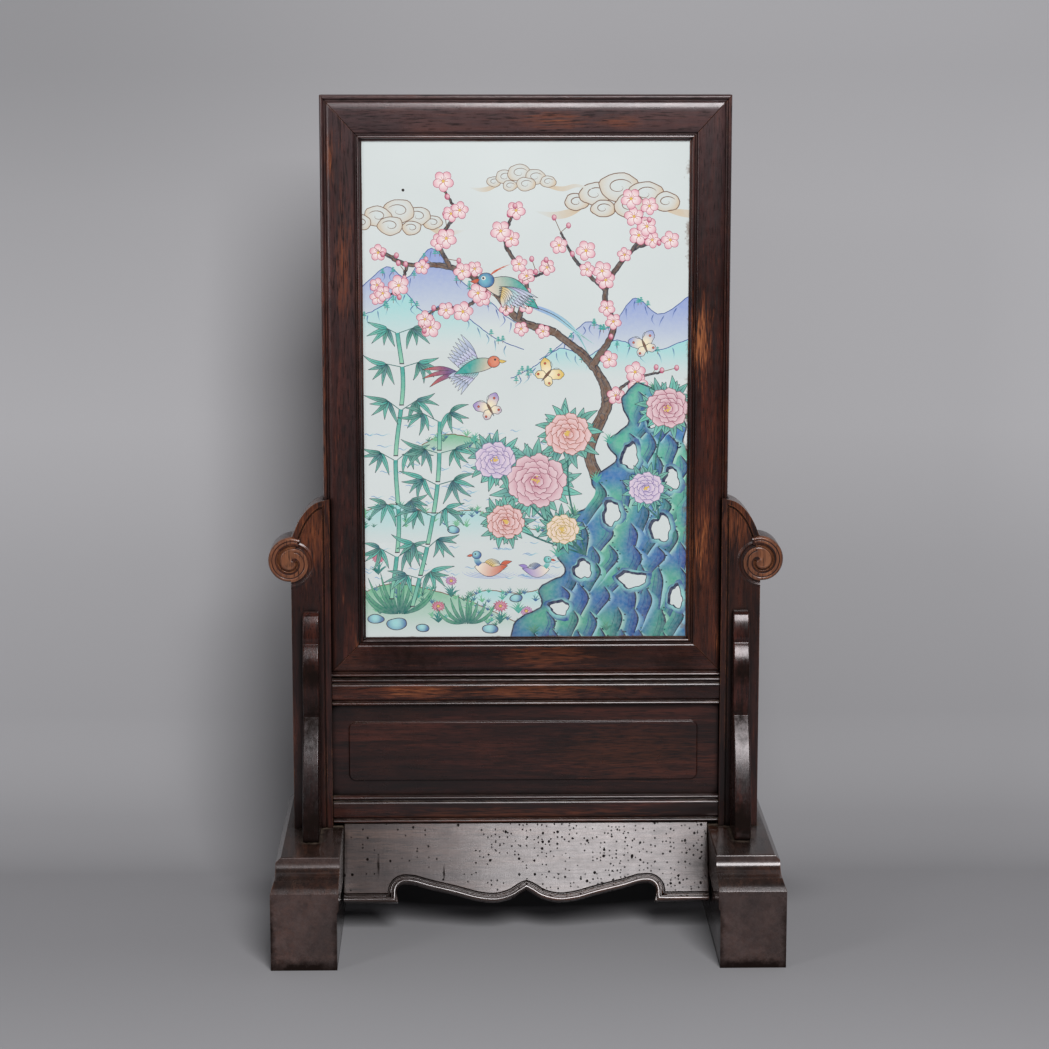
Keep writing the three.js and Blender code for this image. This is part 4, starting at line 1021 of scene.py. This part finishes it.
def blossom(art, at, size, rng):
    """Five round petals, pale at the heart and rose at the rim, and stamens."""
    first = rng.uniform(0, 1.2)
    paint = halo(rgb(250, 238, 236), rgb(222, 124, 150), at, 1.25 * size, 2.0)
    for a in first + np.arange(5) * 1.2566:
        art.disc(polar(at, 0.62 * size, a), (0.5 * size, 0.46 * size), paint, None, a, (0.35, ROSE), 12, 3)
    for a in first + np.arange(6) * 1.047:
        art.line([at, polar(at, 0.5 * size, a)], 0.3, IRON_RED)
    art.dot(at, 0.16 * size, YELLOW, 8)


def paint_tree(art, rng):
    """A leaning tree in flower: a knotted trunk, twigs, blossoms and buds."""
    limbs = (
        (12.0, [(206, 60), (186, 108), (172, 146), (186, 184), (172, 214), (146, 236)]),
        (5.5, [(146, 236), (118, 246), (96, 270), (66, 286), (34, 288), (10, 300)]),
        (4.8, [(174, 210), (190, 238), (184, 268), (204, 298), (226, 306)]),
        (3.4, [(118, 246), (124, 276), (108, 304), (116, 332)]),
        (2.8, [(66, 286), (58, 306), (70, 326), (62, 344)]),
        (2.6, [(184, 268), (162, 290), (150, 312)]),
        (2.4, [(96, 270), (78, 256), (56, 254), (44, 242)]),
        (2.4, [(184, 184), (206, 200), (228, 206)]),
        (1.8, [(34, 288), (28, 270), (14, 262)]),
        (1.8, [(124, 276), (142, 284)]),
        (2.2, [(204, 298), (214, 316), (206, 330)]),
    )
    spots = []
    for width, points in limbs:
        path = through(points, 14 * len(points)) + rng.normal(0, 0.22, (14 * len(points), 2))
        t = np.linspace(0, 1, len(path))[:, None]
        half = normals(path) * width / 2 * (1 - 0.62 * t) * (1 + 0.16 * np.sin(23 * t) * np.cos(9 * t))
        art.band(path + half, path - half, fade(rgb(158, 122, 92), rgb(98, 74, 64), (0, 0), (200, 300)), 3)
        art.line(path + half, 0.6, INK)
        art.line(path - half, 0.9, INK)
        for _ in range(int(width * 7)):
            k = rng.integers(2, len(path) - 8)
            art.line(path[k : k + 6] + half[k : k + 6] * rng.uniform(-0.75, 0.75), 0.4, INK, 0.6)
        if width > 10:
            for k in (24, 44, 60):
                art.dot(path[k], (1.9, 2.9), BROWN, 14, turn=0.4, line=(0.5, INK))
        if width < 6:
            spots += [path[k] for k in range(6, len(path), 7)] + [path[-1]]
    for at in spots:
        offset = rng.normal(0, 4.0, 2)
        if rng.random() < 0.62:
            blossom(art, at + offset, rng.uniform(5.0, 7.4), rng)
        else:
            tip = at + offset * 1.4 + (0, 2)
            art.line([at, tip], 0.5, BROWN)
            shade = halo(PALE_ROSE, ROSE, tip + (0.4, 0.8), 2.4)
            art.disc(tip, (1.7, 2.2), shade, line=(0.35, ROSE), around=10, rings=3)


def peony(art, at, size, deep, rng):
    """Rings of ruffled petals, deep at the heart and paling to their rims."""
    pale = tuple(0.25 * d + 0.75 * p for d, p in zip(deep, rgb(250, 232, 234)))
    line = (0.4, tuple(0.6 * d for d in deep))
    rings = ((9, 0.66, 0.42), (8, 0.42, 0.38), (6, 0.22, 0.32), (3, 0.06, 0.2))
    for ring, (petals, out, radius) in enumerate(rings):
        for k in range(petals):
            a = 6.2832 * k / petals + ring * 0.5 + rng.uniform(-0.1, 0.1)
            paint = halo(deep, pale, polar(at, (out - radius) * size, a, 0.86), 1.7 * radius * size, 1.3)
            ruffle = scalloped(7, 0.16, rng.uniform(0, 3))
            centre = polar(at, out * size, a, 0.86)
            art.disc(centre, (radius * size, radius * size * 0.92), paint, ruffle, a, line, 22)
    for _ in range(12):
        art.dot((at[0] + rng.normal(0, 0.07) * size, at[1] + rng.normal(0, 0.06) * size), 0.7, YELLOW, 7)


def paint_peonies(art, rng):
    """Peonies round the rock, among cut leaves on bent stalks."""
    flowers = (
        ((132, 122), 22, ROSE),
        ((156, 158), 17, IRON_RED),
        ((100, 138), 15, LAVENDER),
        ((232, 178), 16, ROSE),
        ((108, 90), 14, IRON_RED),
        ((216, 116), 13, LAVENDER),
        ((152, 84), 12, YELLOW),
    )
    for (u, v), size, _ in flowers:
        root = (170, 64) if u < 200 else (226, 92)
        bend = (0.5 * (u + root[0]) - 6, 0.5 * (v + root[1]))
        art.line(through([root, bend, (u, v)], 14), 1.3, DEEP_GREEN)
        for a in np.linspace(0, 5.8, 9) + rng.uniform(-0.2, 0.2, 9):
            start = polar((u, v), 0.5 * size, a)
            tones = (pick(rng, (DEEP_GREEN, SEA_GREEN, TURQUOISE)), rgb(134, 208, 188))
            for spread, long in ((-0.55, 1.0), (0.55, 1.0), (0.0, 1.3)):
                tip = polar(start, long * size * rng.uniform(0.75, 0.95), a + spread)
                bend = rng.uniform(-0.12, 0.12)
                art.leaf(start, tip, 0.34 * size, tones, bend, line=(0.4, LEAF_INK), vein=(0.5, LEAF_INK))
    for at, size, deep in flowers:
        peony(art, at, size, deep, rng)


def paint_bamboo(art, rng):
    """Jointed canes at the left, with sprays of long leaves."""
    line = (0.35, LEAF_INK)
    tall = [(20, 30), (26, 84), (24, 140), (30, 196), (26, 236)]
    short = [(36, 24), (48, 72), (56, 120), (58, 168)]
    for cane in (tall, short):
        path = through(cane, 66)
        for k in range(0, 65, 11):
            joint = path[k : k + 11]
            art.line(joint, 2.8, (rgb(150, 208, 176), TURQUOISE))
            art.line(joint + (1.45, 0), 0.5, DEEP_GREEN)
            art.line(joint - (1.45, 0), 0.5, DEEP_GREEN)
            art.line([joint[0] - (1.8, 0), joint[0] + (1.8, 0)], 0.9, INK)
            for side in (-1, 1):
                start = joint[-1] + (side * 1.2, 0)
                twig = start + np.array([side * rng.uniform(6, 12), rng.uniform(2, 8)])
                art.line([start, twig], 0.6, DEEP_GREEN)
                for a in np.linspace(-1.9, 0.3, 5) + rng.uniform(-0.1, 0.1, 5):
                    tip = twig + rng.uniform(13, 20) * np.array([side * cos(a), sin(a)])
                    tones = (pick(rng, (TURQUOISE, DEEP_GREEN, SEA_GREEN)), rgb(132, 204, 182))
                    art.leaf(twig, tip, 3.4, tones, rng.uniform(-0.1, 0.1), 0.6, line, line)


def perched_bird(art):
    """A long-tailed bird that looks to the left, in its own millimetres."""
    for tone, end in ((ROCK_BLUE, (62, -44)), (IRON_RED, (66, -36)), (LILAC_BLUE, (56, -30))):
        plume = through([(14, -8), (34, -15), (50, -26), end], 20)
        art.line(plume, 4.2, (tone, PALE_TURQUOISE), 0.55)
        art.line(plume, 0.5, INK, 0.5)
    for leg in (-2, 4):
        art.line([(leg, -5), (leg - 1, -14)], 0.9, BROWN)
    breast = fade(rgb(238, 214, 196), TURQUOISE, (-16, -4), (8, 6))
    art.leaf((-22, 7), (22, -11), 17, breast, 0.1, 0.8, (0.5, INK), steps=14)
    art.disc((-19, 9), (6.2, 5.6), halo(rgb(120, 190, 206), ROCK_BLUE, (-20, 9), 7), line=(0.45, INK))
    for row, (tone, long) in enumerate(((ROCK_BLUE, 30), (LAVENDER, 24), (TURQUOISE, 17), (YELLOW, 10))):
        for k in range(6):
            start = (-9 + row * 0.6, 4.5 - 1.3 * k)
            tip = (start[0] + long - 1.6 * k, start[1] - 7 - 0.5 * k)
            art.leaf(start, tip, 3.2, (tone, rgb(214, 224, 236)), 0.05, 0.9, (0.3, INK), steps=7)
    for k in range(3):
        crest = [(-16, 13), (-12 + 2 * k, 17 + k), (-7 + 3 * k, 18 + 2 * k)]
        art.line(through(crest, 6), 1.0, IRON_RED, 0.5)
    art.leaf((-24, 9.5), (-31, 7.5), 3.2, IRON_RED, 0.1, line=(0.35, INK), steps=6)
    art.dot((-21, 10.5), (1.7, 1.5), rgb(240, 236, 226), 12)
    art.dot((-21.2, 10.5), 0.9, INK)


def flying_bird(art):
    """A bird with spread wings: each wing is two fans of feathers."""
    for end in ((40, 10), (42, 3), (38, -5)):
        art.leaf((12, 0), end, 3.6, (ROCK_BLUE, IRON_RED), 0.08, 0.9, (0.35, INK))
    for lift, back in ((1.25, 0.35), (-0.55, 0.25)):
        for reach, tone in ((30, ROCK_BLUE), (19, LAVENDER), (11, TURQUOISE)):
            for k in range(7):
                a = lift * (1 - 0.11 * k) + 0.16 * k * back
                root = (-4 + 1.9 * k, 1.5 * np.sign(lift))
                length = reach * (1 - 0.06 * k)
                tip = (root[0] + length * cos(a) * 0.75, root[1] + length * sin(a))
                art.leaf(root, tip, 4.0, (tone, rgb(216, 224, 238)), 0.06, 0.95, (0.3, INK), steps=7)
    breast = fade(rgb(238, 206, 180), TURQUOISE, (-14, -4), (0, 5))
    art.leaf((-20, 1), (16, 0), 11, breast, 0.05, 0.8, (0.45, INK), steps=14)
    art.disc((-17, 2), (5, 4.6), halo(rgb(232, 150, 120), IRON_RED, (-18, 2), 6), line=(0.4, INK))
    art.leaf((-21, 2), (-27, 0), 2.6, YELLOW, 0.1, line=(0.3, INK), steps=6)
    art.dot((-18.5, 3.4), 0.9, INK)


def water_bird(art, tones):
    """A bird that swims to the left, with folded wings and ripples round it."""
    a = np.linspace(pi, 2 * pi, 14)
    for k in range(4):
        ripple = np.stack([(15 + 3.5 * k) * np.cos(a), -3 + (3 + 1.2 * k) * np.sin(a)], -1)
        art.line(ripple, 0.5, LILAC_BLUE, 0.8)
    art.leaf((9, 1), (20, 6), 4.5, tones[0], 0.1, 0.8, (0.35, INK))
    breast = fade(rgb(244, 232, 214), tones[0], (-10, 4), (12, -3))
    art.leaf((-14, 1), (16, 2), 13, breast, -0.1, 0.8, (0.45, INK), steps=14)
    art.line(through([(-9, 3), (-12, 7), (-11, 11)], 8), 5, (tones[1], PALE_TURQUOISE))
    art.disc((-12, 12), (4.2, 3.7), halo(PALE_TURQUOISE, tones[1], (-13, 13), 4.5), line=(0.4, INK))
    for k in range(5):
        start = (-5 + 1.5 * k, 5 - 0.9 * k)
        tip = (start[0] + 13 - k, start[1] + 1.2)
        art.leaf(start, tip, 3.2, (tones[2], GLAZE), 0.1, 0.8, (0.3, INK), steps=7)
    art.leaf((-15.6, 12), (-21, 10.8), 2.3, IRON_RED, line=(0.3, INK), steps=6)
    art.dot((-13.2, 12.8), 0.8, INK, 8)


def butterfly(art, tone):
    """Two pairs of scalloped wings with eye spots, a body and feelers."""
    for side in (-1, 1):
        for (u, v), size, turn in (((6, 5), (7.5, 5), 0.7), ((4.5, -4), (5, 4), -0.7)):
            shade = halo(rgb(250, 236, 200), tone, (side * 2, v * 0.4), 11)
            art.disc((side * u, v), size, shade, scalloped(6, 0.12), side * turn, (0.45, INK), 20)
            art.dot((side * (u + 2), v * 1.25), 1.1, IRON_RED, 8, line=(0.3, INK))
        art.line(through([(0, 4), (side * 2, 9), (side * 5, 11)], 6), 0.35, INK)
    art.leaf((0, 6), (0, -8), 2.2, BROWN, line=(0.3, INK), steps=6)


def paint_birds(art, _):
    """A perched and a flying bird, two on the water and three butterflies."""
    art.place((112, 266), -0.05)
    perched_bird(art)
    art.place((84, 208), 0.25, 0.95, True)
    flying_bird(art)
    art.place((96, 54), 0.0, 0.85)
    water_bird(art, (IRON_RED, ROCK_BLUE, YELLOW))
    art.place((132, 52), 0.0, 0.7, True)
    water_bird(art, (LAVENDER, TURQUOISE, ROCK_BLUE))
    butterflies = (((96, 178), 0.5, LAVENDER), ((140, 204), -0.7, YELLOW), ((214, 226), 0.4, LILAC_BLUE))
    for at, turn, tone in butterflies:
        art.place(at, turn, 0.85)
        butterfly(art, tone)


# Stage and light

# Tones of the paper along the sheet, from 1.5 m in front of the object to 1.5 m
# above the floor behind it; the dip where the paper turns up is painted shade
PAPER_REACH = 1.5
PAPER_GREYS = ((0.38, 160), (0.483, 148), (0.555, 146), (0.577, 147), (0.613, 166), (0.66, 172),
               (0.7, 183), (0.763, 178), (0.8, 166))
PAPER_TONES = [(0.1, rgb(80, 80, 82))] + [(at, rgb(grey, grey - 1, grey + 2)) for at, grey in PAPER_GREYS]


def make_stage():
    """Paper that lies under the object and turns up close behind it.

    Seen from the side it is a level run, a quarter circle and an upright. From
    behind it is clear, and a table top runs on below it, so that the object
    also shows from the back.
    """
    start, radius, height, half, reach = 0.13, 0.11, 3.0, 3.0, 4.0
    bend = np.linspace(0, pi / 2, 13)
    y = np.concatenate([[-reach], start + radius * np.sin(bend), [start + radius]])
    z = np.concatenate([[0.0], radius * (1 - np.cos(bend)), [height]])
    table_y, table_z = np.array([-reach, reach]), np.full(2, -0.5 * MM)
    for name, y, z, look in (("paper", y, z, studio_paper()), ("table", table_y, table_z, studio_table())):
        grid = np.stack(np.broadcast_arrays([-half, half], y[:, None], z[:, None]), -1)
        sheet = mesh_object(name, grid.reshape(-1, 3), grid_faces(len(y), 2), look)
        sheet.data.shade_smooth()


def studio_paper():
    """Grey paper with painted shade and shadow: darkest at the foot of the upright
    and paler above, darker to the upper left and under the stand, clear from behind.
    """
    s = Shader("studio_paper")
    _, y, z = s.axes(s.coords)
    tone = s.ramp(s.span(s.plus(y, z), -PAPER_REACH, PAPER_REACH), *PAPER_TONES)
    # painted shade: the paper darker towards the upper left
    corner = s.times(s.patch((-430, 240, 700), (460, 2000, 420)), 0.26)
    tone = s.mix(corner, tone, rgb(84, 84, 86))
    # painted shadow on the paper under and just behind the stand
    painted_shadow_below = s.math("MINIMUM", s.times(s.patch((0, 85, 0), (270, 95, 60)), 1.8), 0.93)
    colour = s.mix(painted_shadow_below, tone, rgb(20, 20, 21))
    clear = s.node("BsdfTransparent").outputs[0]
    side = s.node("MixShader", {0: s.geometry("Backfacing"), 1: s.surface.outputs[0], 2: clear})
    s.feed(s.output, {0: side.outputs[0]})
    return s.finish({"Base Color": colour, "Roughness": 0.85, "Specular IOR Level": 0.1})


def studio_table():
    return Shader("studio_table").finish({"Base Color": (*rgb(120, 120, 123), 1), "Roughness": 0.85})


LIGHTS_FACE = (0, 0, 0.3)


def soft_light(name, location, size, power):
    """A rectangular lamp turned to the object; its size in metres, its power in watts."""
    lamp = add_object(name, bpy.data.lights.new(name, "AREA"))
    lamp.data.shape = "RECTANGLE"
    lamp.data.size, lamp.data.size_y = size
    lamp.data.energy = power
    lamp.location = location
    aim = Vector(LIGHTS_FACE) - Vector(location)
    lamp.rotation_euler = aim.to_track_quat("-Z", "Y").to_euler()


def light_scene():
    """A key from the right above the camera, a weak fill from the left and a dim room."""
    soft_light("key", (0.42, -2.35, 1.96), (0.98, 1.5), 79)
    soft_light("fill_left", (-1.5, -1.5, 0.9), (0.4, 1.2), 6.5)
    world = bpy.data.worlds.new("studio")
    world.use_nodes = True
    room = world.node_tree.nodes["Background"].inputs
    room["Color"].default_value = (0.94, 0.96, 1, 1)
    room["Strength"].default_value = 0.09
    bpy.context.scene.world = world


bpy.context.scene.view_settings.view_transform = "Standard"
make_camera()
dress_wood()
dress_plaque()
make_stage()
light_scene()
